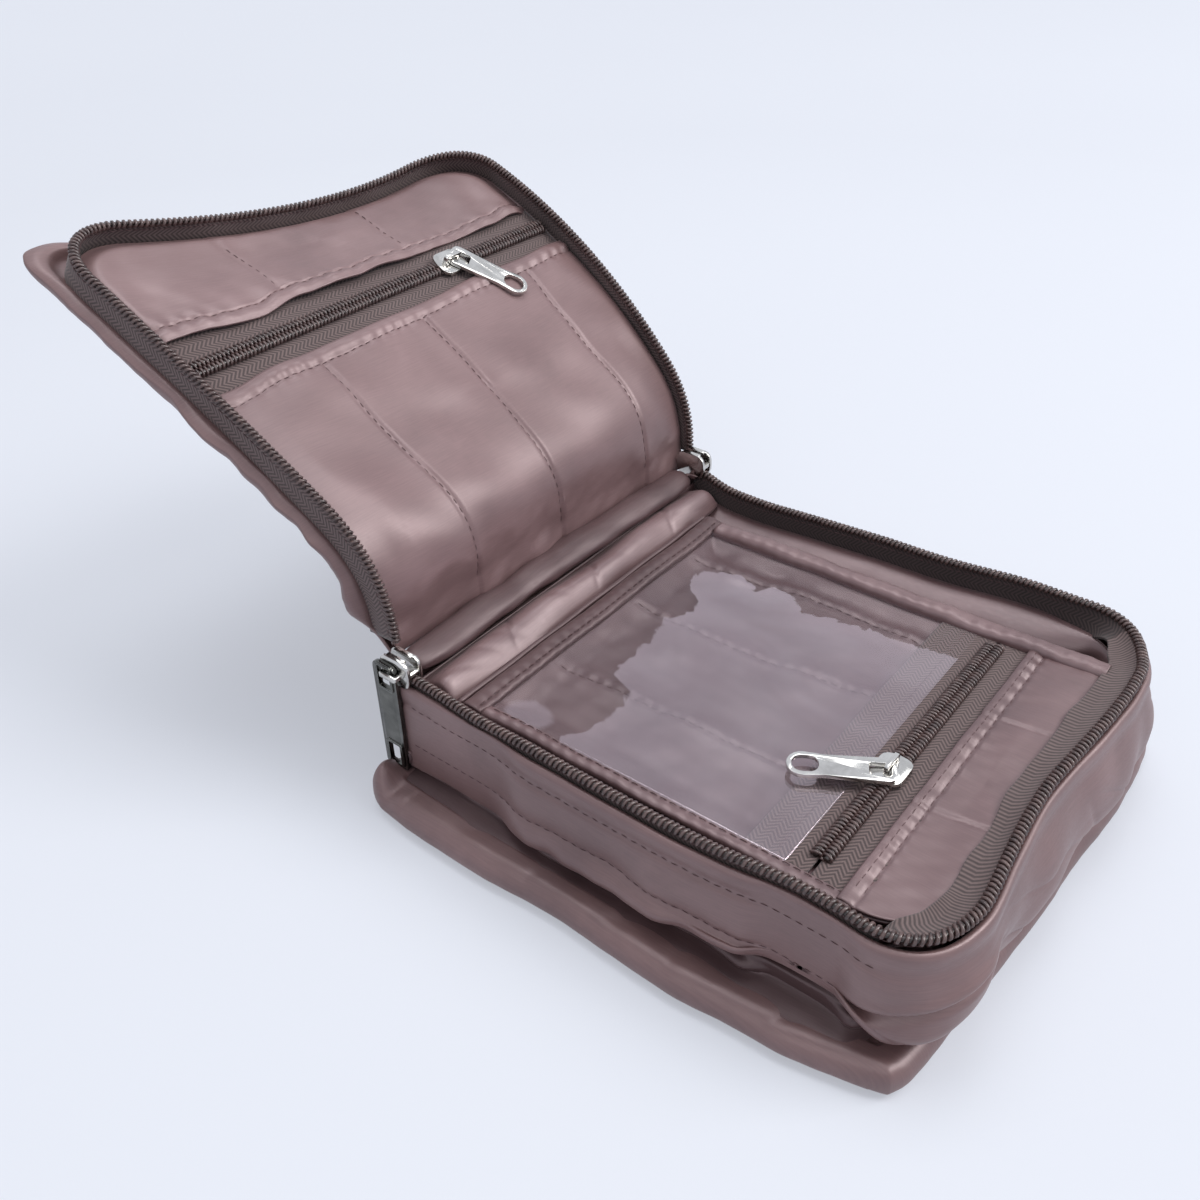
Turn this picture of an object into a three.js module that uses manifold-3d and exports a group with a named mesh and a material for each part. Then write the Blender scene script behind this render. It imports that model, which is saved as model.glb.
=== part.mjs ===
// Zip-round jewelry organizer: a padded base box, a padded lid on a fabric hinge, and one clear zipped page.
// Millimetres, +Z up. The origin is at the middle of the flat bottom, +X points from the hinge to the free end.
import * as THREE from 'three';
import { mergeVertices } from 'three/addons/utils/BufferGeometryUtils.js';
import Module from 'manifold-3d';

const wasm = await Module();
wasm.setup();

// Case size
const caseLength = 160; // hinge line to the zip line at the free end
const caseWidth = 140; // between the zip lines of the front and back walls
const baseHeight = 44.4; // table to the plane where the two zip halves meet
const lidDepth = 16; // that plane to the outside of the lid
const cornerRadius = 22; // zip line at the two free corners
const cornerSteps = 6; // facets of each of those corners
const seam = 0.3; // gap between pieces that are sewn or laid together

// Cloth and padding
const satin = 1; // doubled satin with its backing
const thinSatin = 0.6; // single layer in the page and the lid pocket
const boardThickness = 1.5; // stiffening board
const baseFoam = 4.2; // padding under the compartment floor
const lidFoam = 2.3; // padding of the lid
const coverCorner = 7; // corner radius of the padded covers
const coverRound = 2.4; // rounding of the padded bottom edge
const baseSideMargin = 8; // bottom cover past the zip line, front and back
const baseFreeMargin = 5; // bottom cover past the zip line at the free end
const baseHingeMargin = 3; // bottom cover past the hinge line
const lidMargin = 4.5; // lid cover past the zip line
const lidCoverEdge = 6.5; // width of the padded lid edge, across the depth

// Walls of the base
const bandThickness = 1.7; // topstitched satin band round the outside
const bandTop = 5.9; // below the meeting plane
const bandWidth = 19.5;
const gussetDepth = 6; // how far the lower fold tucks in
const liningLean = 7.8; // the inner lining leans in at the floor
const liningHeight = 24;

// Zip: two coils on woven tapes
const coilHeight = 2.3; // coil, from the meeting line outwards
const coilWidth = 2.4; // coil, across the tape's faces
const coilOffset = 0.8; // meeting line to the coil
const coilNotch = 0.55; // depth of the hollows between two turns
const coilPitch = 3.4; // one turn of the thickened coil
const tapeThickness = 0.9;
const baseTape = 14; // visible and hidden width of the base tape
const lidTape = 6.9; // the same in the shallower lid
const pocketTape = 10.6; // tapes of the lid pocket and the page
const pocketTapeThickness = 0.6;

// Slider and pulls
const sliderLength = 11;
const sliderWidth = 8.6;
const sliderPlate = 1;
const sliderChannel = 3.2; // between the two plates
const lipThickness = 0.8;
const lipLength = 6.4;
const lipSlot = 1.5; // slit between two lips, for the tape
const wedgeWidth = 1.1; // the post that parts the coils
const wedgeLength = 3.4;
const bridgeLength = 6.4;
const bridgeWidth = 1.2;
const bridgeBar = 1.2;
const bridgeClear = 1.9; // room under the bar
const sliderHome = 0.5; // slider centre past the hinge line
const pullThickness = 1.2;
const pullWidth = 8.4;
const pullHead = 2.6; // pull past the bridge post
const pullClear = 1.4; // the hanging outer pull stops this far above the bottom cover
const innerPull = 27; // looped pull of the pockets
const pullWindow = 4.4; // width of the windows
const outerWindow = 7; // length of the outer pull's windows
const innerWindow = 5.5; // length of the inner pull's window at the bridge
const pullRim = 0.9; // raised rim round a window
const rimRise = 0.3;
const loopLength = 8;
const loopWire = 1.3;

// Lid hinge: a short root panel and the lid proper, each turning about its own fold
const rootLength = 34; // hinge line to the second fold
const rootAngle = 97; // direction of the root panel when open as photographed
const lidAngle = 149; // direction of the lid in the same pose
const furtherAngle = 30; // how much further the root can fold back
const rollRadius = 3.2; // satin roll round the hinge line
const rollShort = 3.6; // it stops this far inside the zip line
const rootClear = 6.9; // coil and tape start past the parked slider
const rootEdge = 1.5; // hinge-side wall of the root panel, past the hinge line
const sideWallStart = 8; // that wall stays clear of the parked sliders
const liningStart = 4;
const mitreClear = 0.15;

// Lid pocket
const panelDepth = 5.2; // satin face below the meeting plane
const pocketZip = 52.5; // pocket zip line to the lid's free end
const zipBand = 9.7; // pocket zip line to the folded satin edge
const pocketSliderAt = 31; // place along the pocket zip

// Clear page
const pageHinge = 17.2; // page fold past the hinge line
const pageDrop = 6.9; // middle of the page below the meeting plane
const pageEndClear = 6.8; // free end of the page to the zip line
const pageFrontClear = 4; // the same at its front edge
const pageRearClear = 19; // room to reach in past its rear edge
const pageCorner = 19;
const pageCord = 1; // radius of the sewn cord that the page turns on
const bindingWidth = 6.7;
const bindingCloth = 0.5;
const bindingOpen = 2.6; // inside of the folded binding
const windowThickness = 0.4;
const pageSag = 2.8; // the satin back of the pouch hangs down in the middle
const pageSlope = 6; // from its sewn edge to its full depth
const layerGap = 0.2; // between the layers held in a binding
const pageTape = 14; // zip tape under the window
const pageCoilClear = 2; // the page's coils stop this far from the bindings
const pageZipEnd = 31.2; // the page's zip line to its free end
const windowLap = 11.5; // the window reaches over its tape
const pageSliderAt = -22;
const innerPullAngle = -150; // the inner pulls lie this far round their posts

// Soft fold inside the hinge
const foldHeight = 8;
const foldDrop = 2.5; // its middle below the page

// Colours of the cloths and metals
function finish(color, roughness, metalness = 0) {
  return new THREE.MeshStandardMaterial({ color, roughness, metalness });
}
const satinOuter = finish(0x8f7578, 0.42);
const satinInner = finish(0x9a7f82, 0.4);
const satinDark = finish(0x7b6264, 0.5);
const tapeCloth = finish(0x5e514e, 0.85);
const coilNylon = finish(0x4a3b38, 0.45);
const nickel = finish(0xc9c8c4, 0.22, 1);
const darkNickel = finish(0x8d8b86, 0.25, 1);
const clearVinyl = finish(0xcfc6cb, 0.12);
clearVinyl.transparent = true;
clearVinyl.opacity = 0.35;
const foam = finish(0xd9d4cc, 0.95);
const board = finish(0xb9a27e, 0.9);

function smooth(share) {
  return THREE.MathUtils.smoothstep(share, 0, 1);
}

// Turning closed solids into one another
function toSolid(geometry) {
  const bare = geometry.clone();
  bare.deleteAttribute('normal');
  bare.deleteAttribute('uv');
  const merged = mergeVertices(bare, 1e-4);
  const vertProperties = new Float32Array(merged.attributes.position.array);
  const triVerts = new Uint32Array(merged.index.array);
  return new wasm.Manifold(new wasm.Mesh({ numProp: 3, vertProperties, triVerts }));
}

function fromSolid(solid) {
  const mesh = solid.getMesh();
  const geometry = new THREE.BufferGeometry();
  geometry.setAttribute('position', new THREE.BufferAttribute(new Float32Array(mesh.vertProperties), 3));
  geometry.setIndex(new THREE.BufferAttribute(new Uint32Array(mesh.triVerts), 1));
  geometry.computeVertexNormals();
  return geometry;
}

function join(...geometries) {
  const solids = geometries.map(toSolid);
  return fromSolid(solids.reduce((whole, next) => whole.add(next)));
}

function cut(geometry, ...tools) {
  const solids = tools.map(toSolid);
  return fromSolid(solids.reduce((left, tool) => left.subtract(tool), toSolid(geometry)));
}

// Basic solids
function box(x0, x1, y0, y1, z0, z1) {
  const geometry = new THREE.BoxGeometry(x1 - x0, y1 - y0, z1 - z0);
  geometry.translate((x0 + x1) / 2, (y0 + y1) / 2, (z0 + z1) / 2);
  return geometry;
}

function slab(shape, z0, z1, curveSegments = 4) {
  const geometry = new THREE.ExtrudeGeometry(shape, { depth: z1 - z0, bevelEnabled: false, curveSegments });
  geometry.translate(0, 0, z0);
  return geometry;
}

// A solid with the same outline in every XZ section, from y0 to y1
function prism(points, y0, y1) {
  const shape = new THREE.Shape(points.map(([x, z]) => new THREE.Vector2(x, z)));
  const geometry = new THREE.ExtrudeGeometry(shape, { depth: y1 - y0, bevelEnabled: false });
  geometry.rotateX(Math.PI / 2);
  geometry.translate(0, y1, 0);
  return geometry;
}

// Rectangle whose corners at the far end in X are rounded by freeRadius and the others by nearRadius
function panelShape(x0, x1, y0, y1, nearRadius, freeRadius) {
  const shape = new THREE.Shape();
  const quarter = Math.PI / 2;
  shape.moveTo(x0 + nearRadius, y0);
  shape.lineTo(x1 - freeRadius, y0);
  if (freeRadius > 0) shape.absarc(x1 - freeRadius, y0 + freeRadius, freeRadius, -quarter, 0, false);
  shape.lineTo(x1, y1 - freeRadius);
  if (freeRadius > 0) shape.absarc(x1 - freeRadius, y1 - freeRadius, freeRadius, 0, quarter, false);
  shape.lineTo(x0 + nearRadius, y1);
  if (nearRadius > 0) shape.absarc(x0 + nearRadius, y1 - nearRadius, nearRadius, quarter, 2 * quarter, false);
  shape.lineTo(x0, y0 + nearRadius);
  if (nearRadius > 0) shape.absarc(x0 + nearRadius, y0 + nearRadius, nearRadius, 2 * quarter, 3 * quarter, false);
  return shape;
}

// A closed body through a row of rings. Every ring has the same number of points.
function loft(rings, flatRings) {
  const count = rings[0].length;
  const index = [];
  for (let ring = 0; ring < rings.length - 1; ring += 1) {
    for (let i = 0; i < count; i += 1) {
      const a = ring * count + i;
      const b = ring * count + ((i + 1) % count);
      index.push(a, b, b + count, a, b + count, a + count);
    }
  }
  const capAt = (ring, flipped) => {
    const contour = flatRings[ring].map(([a, b]) => new THREE.Vector2(a, b));
    const first = ring * count;
    for (const [a, b, c] of THREE.ShapeUtils.triangulateShape(contour, [])) {
      index.push(first + a, first + (flipped ? c : b), first + (flipped ? b : c));
    }
  };
  const counterClockwise = THREE.ShapeUtils.area(flatRings[0].map(([a, b]) => new THREE.Vector2(a, b))) > 0;
  capAt(0, counterClockwise);
  capAt(rings.length - 1, !counterClockwise);
  const geometry = new THREE.BufferGeometry();
  const flat = rings.flat().flatMap((p) => [p.x, p.y, p.z]);
  geometry.setAttribute('position', new THREE.BufferAttribute(new Float32Array(flat), 3));
  geometry.setIndex(facingOut(flat, index));
  geometry.computeVertexNormals();
  return geometry;
}

// Triangles turned so that the body's volume is positive
function facingOut(positions, index) {
  const corner = (i) => new THREE.Vector3(positions[3 * i], positions[3 * i + 1], positions[3 * i + 2]);
  let volume = 0;
  for (let i = 0; i < index.length; i += 3) {
    const [a, b, c] = [corner(index[i]), corner(index[i + 1]), corner(index[i + 2])];
    volume += a.dot(b.cross(c));
  }
  if (volume > 0) return index;
  const turned = [];
  for (let i = 0; i < index.length; i += 3) turned.push(index[i], index[i + 2], index[i + 1]);
  return turned;
}

// The U-shaped zip line, from the hinge along the front, round the free end and back along the rear
function zipLine(start, end) {
  const half = caseWidth / 2;
  const leg = end - cornerRadius - start;
  const arc = (Math.PI / 2) * cornerRadius;
  const total = 2 * leg + 2 * arc + caseWidth - 2 * cornerRadius;
  function at(distance) {
    if (distance > total / 2) {
      const twin = at(total - distance);
      return { x: twin.x, y: -twin.y, nx: twin.nx, ny: -twin.ny };
    }
    if (distance <= leg) return { x: start + distance, y: -half, nx: 0, ny: -1 };
    const turn = Math.min((distance - leg) / cornerRadius, Math.PI / 2);
    const past = Math.max(distance - leg - arc, 0);
    return {
      x: end - cornerRadius + cornerRadius * Math.sin(turn),
      y: -half + cornerRadius - cornerRadius * Math.cos(turn) + past,
      nx: Math.sin(turn),
      ny: -Math.cos(turn),
    };
  }
  const stops = [0];
  for (let k = 0; k <= cornerSteps; k += 1) stops.push(leg + (arc * k) / cornerSteps);
  const far = stops.map((distance) => total - distance).reverse();
  return { at, total, stops: [...stops, ...far] };
}

// A wall of one section round the zip line. lean tells how far an end leans along X for each height.
function uWall(line, section, lean = () => 0) {
  const rings = line.stops.map((distance, i) => {
    const isEnd = i === 0 || i === line.stops.length - 1;
    const place = line.at(distance);
    return section.map(([out, z]) => {
      const x = place.x + place.nx * out + (isEnd ? lean(z) : 0);
      return new THREE.Vector3(x, place.y + place.ny * out, z);
    });
  });
  return loft(rings, rings.map(() => section));
}

function rectangle(a0, a1, b0, b1) {
  return [[a0, b0], [a1, b0], [a1, b1], [a0, b1]];
}

// Coil section: from the meeting line outwards; its face is notched between the turns
function coilSection(near, far, notched) {
  const notch = notched ? coilNotch : 0;
  const sign = Math.sign(far - near);
  const half = coilWidth / 2 - notch;
  return rectangle(-half, half, near + sign * notch, far);
}

// Coil round the zip line, one notch and one crown for each turn
function uCoil(line, near, far, lean = () => 0) {
  const turns = Math.round(line.total / coilPitch);
  const rings = [];
  const flats = [];
  for (let i = 0; i <= 2 * turns; i += 1) {
    const isEnd = i === 0 || i === 2 * turns;
    const place = line.at((line.total * i) / (2 * turns));
    const section = coilSection(near, far, i % 2 === 0);
    flats.push(section);
    rings.push(section.map(([out, z]) => {
      const x = place.x + place.nx * out + (isEnd ? lean(z) : 0);
      return new THREE.Vector3(x, place.y + place.ny * out, z);
    }));
  }
  return loft(rings, flats);
}

// Straight coil from start to end. place(distance, across, out) gives the point in space.
function straightCoil(start, end, near, far, place) {
  const turns = Math.max(2, Math.round(Math.abs(end - start) / coilPitch));
  const rings = [];
  const flats = [];
  for (let i = 0; i <= 2 * turns; i += 1) {
    const section = coilSection(near, far, i % 2 === 0);
    flats.push(section);
    const share = i / (2 * turns);
    rings.push(section.map(([across, out]) => place(share, across, out)));
  }
  return loft(rings, flats);
}

// Slider: two oval plates, the wedge between the coils, four lips round the tapes and the bridge for the pull.
// It travels along X with its mouth towards +X, and the bridge stands on the +Z plate.
function sliderBody() {
  const halfLength = sliderLength / 2;
  const halfWidth = sliderWidth / 2;
  const flat = halfLength * 0.5;
  const outline = new THREE.Shape();
  outline.moveTo(-halfLength, 0);
  outline.quadraticCurveTo(-halfLength, -halfWidth, -flat, -halfWidth);
  outline.lineTo(flat, -halfWidth);
  outline.quadraticCurveTo(halfLength, -halfWidth, halfLength, 0);
  outline.quadraticCurveTo(halfLength, halfWidth, flat, halfWidth);
  outline.lineTo(-flat, halfWidth);
  outline.quadraticCurveTo(-halfLength, halfWidth, -halfLength, 0);
  const inside = sliderChannel / 2;
  const outside = inside + sliderPlate;
  const pieces = [slab(outline, inside, outside), slab(outline, -outside, -inside)];
  const wedgeTip = halfLength - seam;
  const wedge = new THREE.Shape([
    new THREE.Vector2(wedgeTip, -wedgeWidth / 2),
    new THREE.Vector2(wedgeTip, wedgeWidth / 2),
    new THREE.Vector2(wedgeTip - wedgeLength / 2, wedgeWidth / 2),
    new THREE.Vector2(wedgeTip - wedgeLength, 0),
    new THREE.Vector2(wedgeTip - wedgeLength / 2, -wedgeWidth / 2),
  ]);
  const embed = sliderPlate / 2;
  pieces.push(slab(wedge, -inside - embed, inside + embed));
  for (const side of [-1, 1]) {
    const edges = [side * (halfWidth - lipThickness), side * halfWidth].sort((a, b) => a - b);
    const half = lipLength / 2;
    pieces.push(box(-half, half, edges[0], edges[1], lipSlot / 2, inside + embed));
    pieces.push(box(-half, half, edges[0], edges[1], -inside - embed, -lipSlot / 2));
  }
  pieces.push(bridgeArch(outside, embed));
  return join(...pieces);
}

function bridgeArch(base, embed) {
  const half = bridgeLength / 2;
  const top = base + bridgeClear + bridgeBar;
  const bevel = bridgeBar / 2;
  const inner = half - bridgeWidth;
  const arch = prism([
    [-half, base - embed],
    [half, base - embed],
    [half, top - bevel],
    [half - bevel, top],
    [-half + bevel, top],
    [-half, top - bevel],
  ], -bridgeWidth / 2, bridgeWidth / 2);
  return cut(arch, box(-inner, inner, -bridgeWidth, bridgeWidth, base, base + bridgeClear));
}

const bridgePost = bridgeLength / 2 - bridgeWidth / 2; // post centre from the slider's middle

function windowHole(halfWidth, top, bottom, corner) {
  const shape = panelShape(bottom, top, -halfWidth, halfWidth, corner, corner);
  return shape.getPoints(3).slice(1).map((p) => new THREE.Vector2(p.y, p.x)).reverse();
}

function rimRing(halfWidth, top, bottom) {
  const outer = new THREE.Shape(windowHole(halfWidth + pullRim, top + pullRim, bottom - pullRim, pullRim));
  outer.holes.push(new THREE.Path(windowHole(halfWidth, top, bottom, pullRim / 2)));
  return slab(outer, pullThickness / 2, pullThickness + rimRise);
}

// Long flat pull with a rimmed window at each end. It hangs along -Y from the bridge post at the origin.
function outerPullBody() {
  const half = pullWidth / 2;
  const head = pullWidth * 0.3;
  const foot = pullRim;
  const tail = pullHead - outerPull;
  const outline = new THREE.Shape();
  outline.moveTo(-half, tail + foot);
  outline.quadraticCurveTo(-half, tail, -half + foot, tail);
  outline.lineTo(half - foot, tail);
  outline.quadraticCurveTo(half, tail, half, tail + foot);
  outline.lineTo(half, pullHead - head);
  outline.quadraticCurveTo(half, pullHead, half - head, pullHead);
  outline.lineTo(-half + head, pullHead);
  outline.quadraticCurveTo(-half, pullHead, -half, pullHead - head);
  const beam = pullHead - bridgeWidth / 2 - 2 * seam;
  const headTop = pullHead - beam + seam;
  const footBottom = tail + beam;
  const holes = [[headTop, headTop - outerWindow], [footBottom + outerWindow, footBottom]];
  for (const [top, bottom] of holes) {
    outline.holes.push(new THREE.Path(windowHole(pullWindow / 2, top, bottom, pullRim / 2)));
  }
  const rims = holes.map(([top, bottom]) => rimRing(pullWindow / 2, top, bottom));
  return join(slab(outline, 0, pullThickness), ...rims);
}

// Shorter pull with an oval eye at the bridge and a round wire loop at the far end
function innerPullBody() {
  const half = pullWidth / 2;
  const waist = half * 0.86;
  const tail = pullHead - innerPull;
  const outline = new THREE.Shape();
  outline.moveTo(-half, tail + half);
  outline.absarc(0, tail + half, half, Math.PI, 2 * Math.PI, false);
  outline.lineTo(waist, tail + loopLength + loopWire);
  outline.lineTo(half, 0);
  outline.quadraticCurveTo(half, pullHead, 0, pullHead);
  outline.quadraticCurveTo(-half, pullHead, -half, 0);
  outline.lineTo(-waist, tail + loopLength + loopWire);
  const eyeTop = bridgeWidth / 2 + 2 * seam;
  const eye = windowHole(pullWindow / 2, eyeTop, eyeTop - innerWindow, pullRim);
  const loop = windowHole(half - loopWire, tail + loopLength, tail + loopWire, half - loopWire - seam);
  outline.holes.push(new THREE.Path(eye), new THREE.Path(loop));
  return slab(outline, 0, pullThickness, 5);
}

// Scene graph
const organizer = new THREE.Group();
const baseFrame = new THREE.Group();
baseFrame.position.x = -caseLength / 2;
organizer.add(baseFrame);

function add(parent, name, geometry, material) {
  const mesh = new THREE.Mesh(geometry, material.clone());
  mesh.name = name;
  parent.add(mesh);
  return mesh;
}

function turned(parent, x, z, degrees) {
  const group = new THREE.Group();
  group.position.set(x, 0, z);
  group.rotation.y = -THREE.MathUtils.degToRad(degrees);
  parent.add(group);
  return group;
}

// A slider and its pull. travel and outward are the directions of the zip's mouth and of the bridge.
function addSlider(parent, names, place, travel, outward, pullGeometry, pullTurn, metal) {
  const group = new THREE.Group();
  group.position.copy(place);
  const across = new THREE.Vector3().crossVectors(outward, travel);
  group.quaternion.setFromRotationMatrix(new THREE.Matrix4().makeBasis(travel, across, outward));
  parent.add(group);
  add(group, names[0], sliderBody(), metal);
  const pull = add(group, names[1], pullGeometry, metal);
  pull.position.set(-bridgePost, 0, sliderChannel / 2 + sliderPlate + seam);
  pull.rotation.z = THREE.MathUtils.degToRad(pullTurn);
}

// Bottom cover with its board, foam and the compartment floor
const boardBase = satin + seam;
const foamBase = boardBase + boardThickness + seam;
const floorBase = foamBase + baseFoam + seam;
const floorTop = floorBase + satin;
const outerPull = pullHead + baseHeight - floorTop - pullClear; // long flat pull of the main zip
const halfCover = caseWidth / 2 + baseSideMargin;

function coverOutline(inset) {
  const corner = Math.max(coverCorner - inset, 1);
  const near = -baseHingeMargin + inset;
  const far = caseLength + baseFreeMargin - inset;
  return panelShape(near, far, -halfCover + inset, halfCover - inset, corner, corner);
}

function buildBottom() {
  const shell = new THREE.ExtrudeGeometry(coverOutline(coverRound), {
    depth: floorTop - 2 * coverRound,
    bevelThickness: coverRound,
    bevelSize: coverRound,
    bevelSegments: 2,
    curveSegments: 4,
  });
  shell.translate(0, 0, coverRound);
  const pocketInset = coverRound + satin;
  const cover = cut(shell, slab(coverOutline(pocketInset), satin, floorTop + satin));
  add(baseFrame, 'bottom_cover', cover, satinOuter);
  const inset = pocketInset + seam;
  add(baseFrame, 'bottom_board', slab(coverOutline(inset), boardBase, boardBase + boardThickness), board);
  add(baseFrame, 'bottom_foam', slab(coverOutline(inset), foamBase, foamBase + baseFoam), foam);
  add(baseFrame, 'floor_lining', slab(coverOutline(inset), floorBase, floorTop), satinInner);
}

// Walls of the base
const wallFoot = floorTop + seam;
const tapeHalf = tapeThickness / 2;
const coilTop = baseHeight - coilOffset;
const tapeTop = coilTop - coilHeight - seam;
const spineInside = satin + seam;
const wallStart = spineInside;

function buildWalls() {
  const line = zipLine(wallStart, caseLength);
  const liningLine = zipLine(wallStart + satin + seam, caseLength);
  const top = baseHeight - bandTop;
  const bottom = top - bandWidth;
  const outer = tapeHalf + seam;
  add(baseFrame, 'wall_band', uWall(line, rectangle(outer, outer + bandThickness, bottom, top)), satinOuter);
  const gussetTop = bottom - seam;
  const crease = (wallFoot + gussetTop) / 2;
  const gusset = [
    [outer, wallFoot],
    [outer + satin, wallFoot],
    [-gussetDepth + satin, crease],
    [outer + satin, gussetTop],
    [outer, gussetTop],
    [-gussetDepth, crease],
  ];
  add(baseFrame, 'gusset_fold', uWall(liningLine, gusset), satinDark);
  add(baseFrame, 'base_zip_tape', uWall(line, rectangle(-tapeHalf, tapeHalf, tapeTop - baseTape, tapeTop)), tapeCloth);
  add(baseFrame, 'base_zip_coil', uCoil(line, coilTop, coilTop - coilHeight), coilNylon);
  const lining = [
    [-outer - liningLean, wallFoot],
    [-outer, wallFoot + liningHeight],
    [-outer - satin, wallFoot + liningHeight],
    [-outer - liningLean - satin, wallFoot],
  ];
  add(baseFrame, 'wall_lining', uWall(liningLine, lining), satinInner);
}

// Spine, the roll round the hinge line and the soft fold inside it
const pageAxis = pageHinge;
const pageLevel = baseHeight - pageDrop;
const pageLength = caseLength - pageHinge - pageEndClear;
const pageFront = -caseWidth / 2 + pageFrontClear;
const pageRear = caseWidth / 2 - pageRearClear;
const pageZip = pageLength - pageZipEnd;
const foldMiddle = pageLevel - foldDrop;

function ellipseRoll(x0, x1, middle, height, halfLength, steps) {
  const rings = [];
  const flats = [];
  for (const y of [-halfLength, halfLength]) {
    const section = [];
    for (let i = 0; i < steps; i += 1) {
      const turn = (2 * Math.PI * i) / steps;
      section.push([(x0 + x1) / 2 + ((x1 - x0) / 2) * Math.cos(turn), middle + (height / 2) * Math.sin(turn)]);
    }
    flats.push(section);
    rings.push(section.map(([x, z]) => new THREE.Vector3(x, y, z)));
  }
  return loft(rings, flats);
}

function buildSpine() {
  const half = caseWidth / 2;
  const shoulder = baseHeight - bandTop;
  const underRoll = baseHeight - rollRadius - seam;
  const wide = half + tapeHalf + seam + bandThickness;
  const narrow = half - rollShort;
  const upper = box(-satin / 2, satin / 2, -narrow, narrow, shoulder - satin, underRoll);
  const lower = box(-satin, spineInside - seam, -wide, wide, wallFoot, shoulder);
  add(baseFrame, 'spine_panel', join(lower, upper), satinOuter);
  const liningHalf = half - tapeHalf - seam;
  const lining = box(spineInside, spineInside + satin, -liningHalf, liningHalf, wallFoot, tapeTop - bandTop / 2);
  add(baseFrame, 'spine_lining', lining, satinInner);
  const roll = new THREE.CylinderGeometry(rollRadius, rollRadius, 2 * narrow, 16);
  const rollMesh = add(baseFrame, 'hinge_roll', roll, satinInner);
  rollMesh.position.z = baseHeight;
  const foldStart = spineInside + satin + seam;
  const foldEnd = pageAxis - pageCord / 2;
  const foldHalf = liningHalf - cornerRadius / 3;
  add(baseFrame, 'inner_fold', ellipseRoll(foldStart, foldEnd, foldMiddle, foldHeight, foldHalf, 14), satinInner);
}

// Lid: its pieces are drawn closed, with X along the zip line from each fold and Z out of the case
const mitre = Math.tan(THREE.MathUtils.degToRad((lidAngle - rootAngle) * (1 + furtherAngle / rootAngle) / 2));
const lidLength = caseLength - rootLength;
const coilNear = coilOffset;
const coilFar = coilOffset + coilHeight;
const lidTapeNear = coilFar + seam;
const lidTapeFar = lidTapeNear + lidTape;
const coverNear = lidDepth - lidCoverEdge;
const foamNear = lidTapeFar + seam;
const boardNear = foamNear + lidFoam + seam;
const outerLip = tapeHalf + seam;
const halfLid = caseWidth / 2 + lidMargin;
const rootFrame = turned(baseFrame, 0, baseHeight, rootAngle);
const lidFrame = turned(rootFrame, rootLength, 0, lidAngle - rootAngle);

// Cuts away what would meet the other panel when the lid folds right back
function mitreTool(before) {
  const side = before ? 1 : -1;
  const edge = before ? rootLength : 0;
  const reach = 3 * lidDepth;
  const low = -lidDepth;
  const far = 2 * lidDepth;
  const face = (z) => edge - side * (Math.max(z, 0) * mitre + mitreClear);
  const beyond = edge + side * reach;
  return prism([[face(0), low], [beyond, low], [beyond, far], [face(far), far], [face(0), 0]], -2 * halfLid, 2 * halfLid);
}

function rootEnd(z) {
  return rootLength - z * mitre - mitreClear;
}

function buildRoot() {
  const half = caseWidth / 2;
  const cavity = satin + rootEdge;
  const shell = box(rootEdge, rootLength, -halfLid, halfLid, coverNear, lidDepth);
  const lip = satin * 0.8;
  const pocket = box(cavity, 2 * rootLength, -halfLid + satin, halfLid - satin, coverNear + lip, lidDepth - satin);
  const mouth = box(cavity, 2 * rootLength, -half - outerLip, half + outerLip, coverNear - lip, coverNear + 2 * lip);
  const tray = cut(shell, pocket, mouth, mitreTool(true));
  const flap = box(rootEdge, cavity, -half + rollShort, half - rollShort, rollRadius, coverNear + lip);
  const wings = box(rootEdge, cavity, -halfLid, halfLid, sideWallStart, coverNear + lip);
  add(rootFrame, 'lid_root_cover', join(tray, flap, wings), satinOuter);
  const inset = satin + seam;
  const padding = box(cavity + seam, rootLength, -halfLid + inset, halfLid - inset, foamNear, lidDepth - inset);
  add(rootFrame, 'lid_root_foam', cut(padding, mitreTool(true)), foam);
  const face = box(liningStart, rootLength, -half + outerLip, half - outerLip, panelDepth, panelDepth + satin);
  add(rootFrame, 'lid_root_lining', cut(face, mitreTool(true)), satinInner);
  for (const [name, y] of [['front', -half], ['back', half]]) {
    const tape = prism([
      [rootClear, lidTapeNear],
      [rootEnd(lidTapeNear), lidTapeNear],
      [rootEnd(lidTapeFar), lidTapeFar],
      [rootClear, lidTapeFar],
    ], y - tapeHalf, y + tapeHalf);
    add(rootFrame, `lid_root_tape_${name}`, tape, tapeCloth);
    const coil = straightCoil(rootClear, rootLength, coilNear, coilFar, (share, across, out) => {
      return new THREE.Vector3(rootClear + share * (rootEnd(out) - rootClear), y + across, out);
    });
    add(rootFrame, `lid_root_coil_${name}`, coil, coilNylon);
  }
}

// Outline of a lid layer, inset from the cover's edge or set back from the zip line
function lidLayer(edge, inset, corner, z0, z1) {
  const half = caseWidth / 2 + edge - inset;
  const shape = panelShape(0, lidLength + edge - inset, -half, half, 0, corner);
  return slab(shape, z0, z1, cornerSteps);
}

const pocketLine = lidLength - pocketZip;
const pocketTapeNear = panelDepth + satin + seam;
const pocketZipLevel = pocketTapeNear + pocketTapeThickness / 2;
const pocketBack = lidTapeFar - satin / 2;

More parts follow.
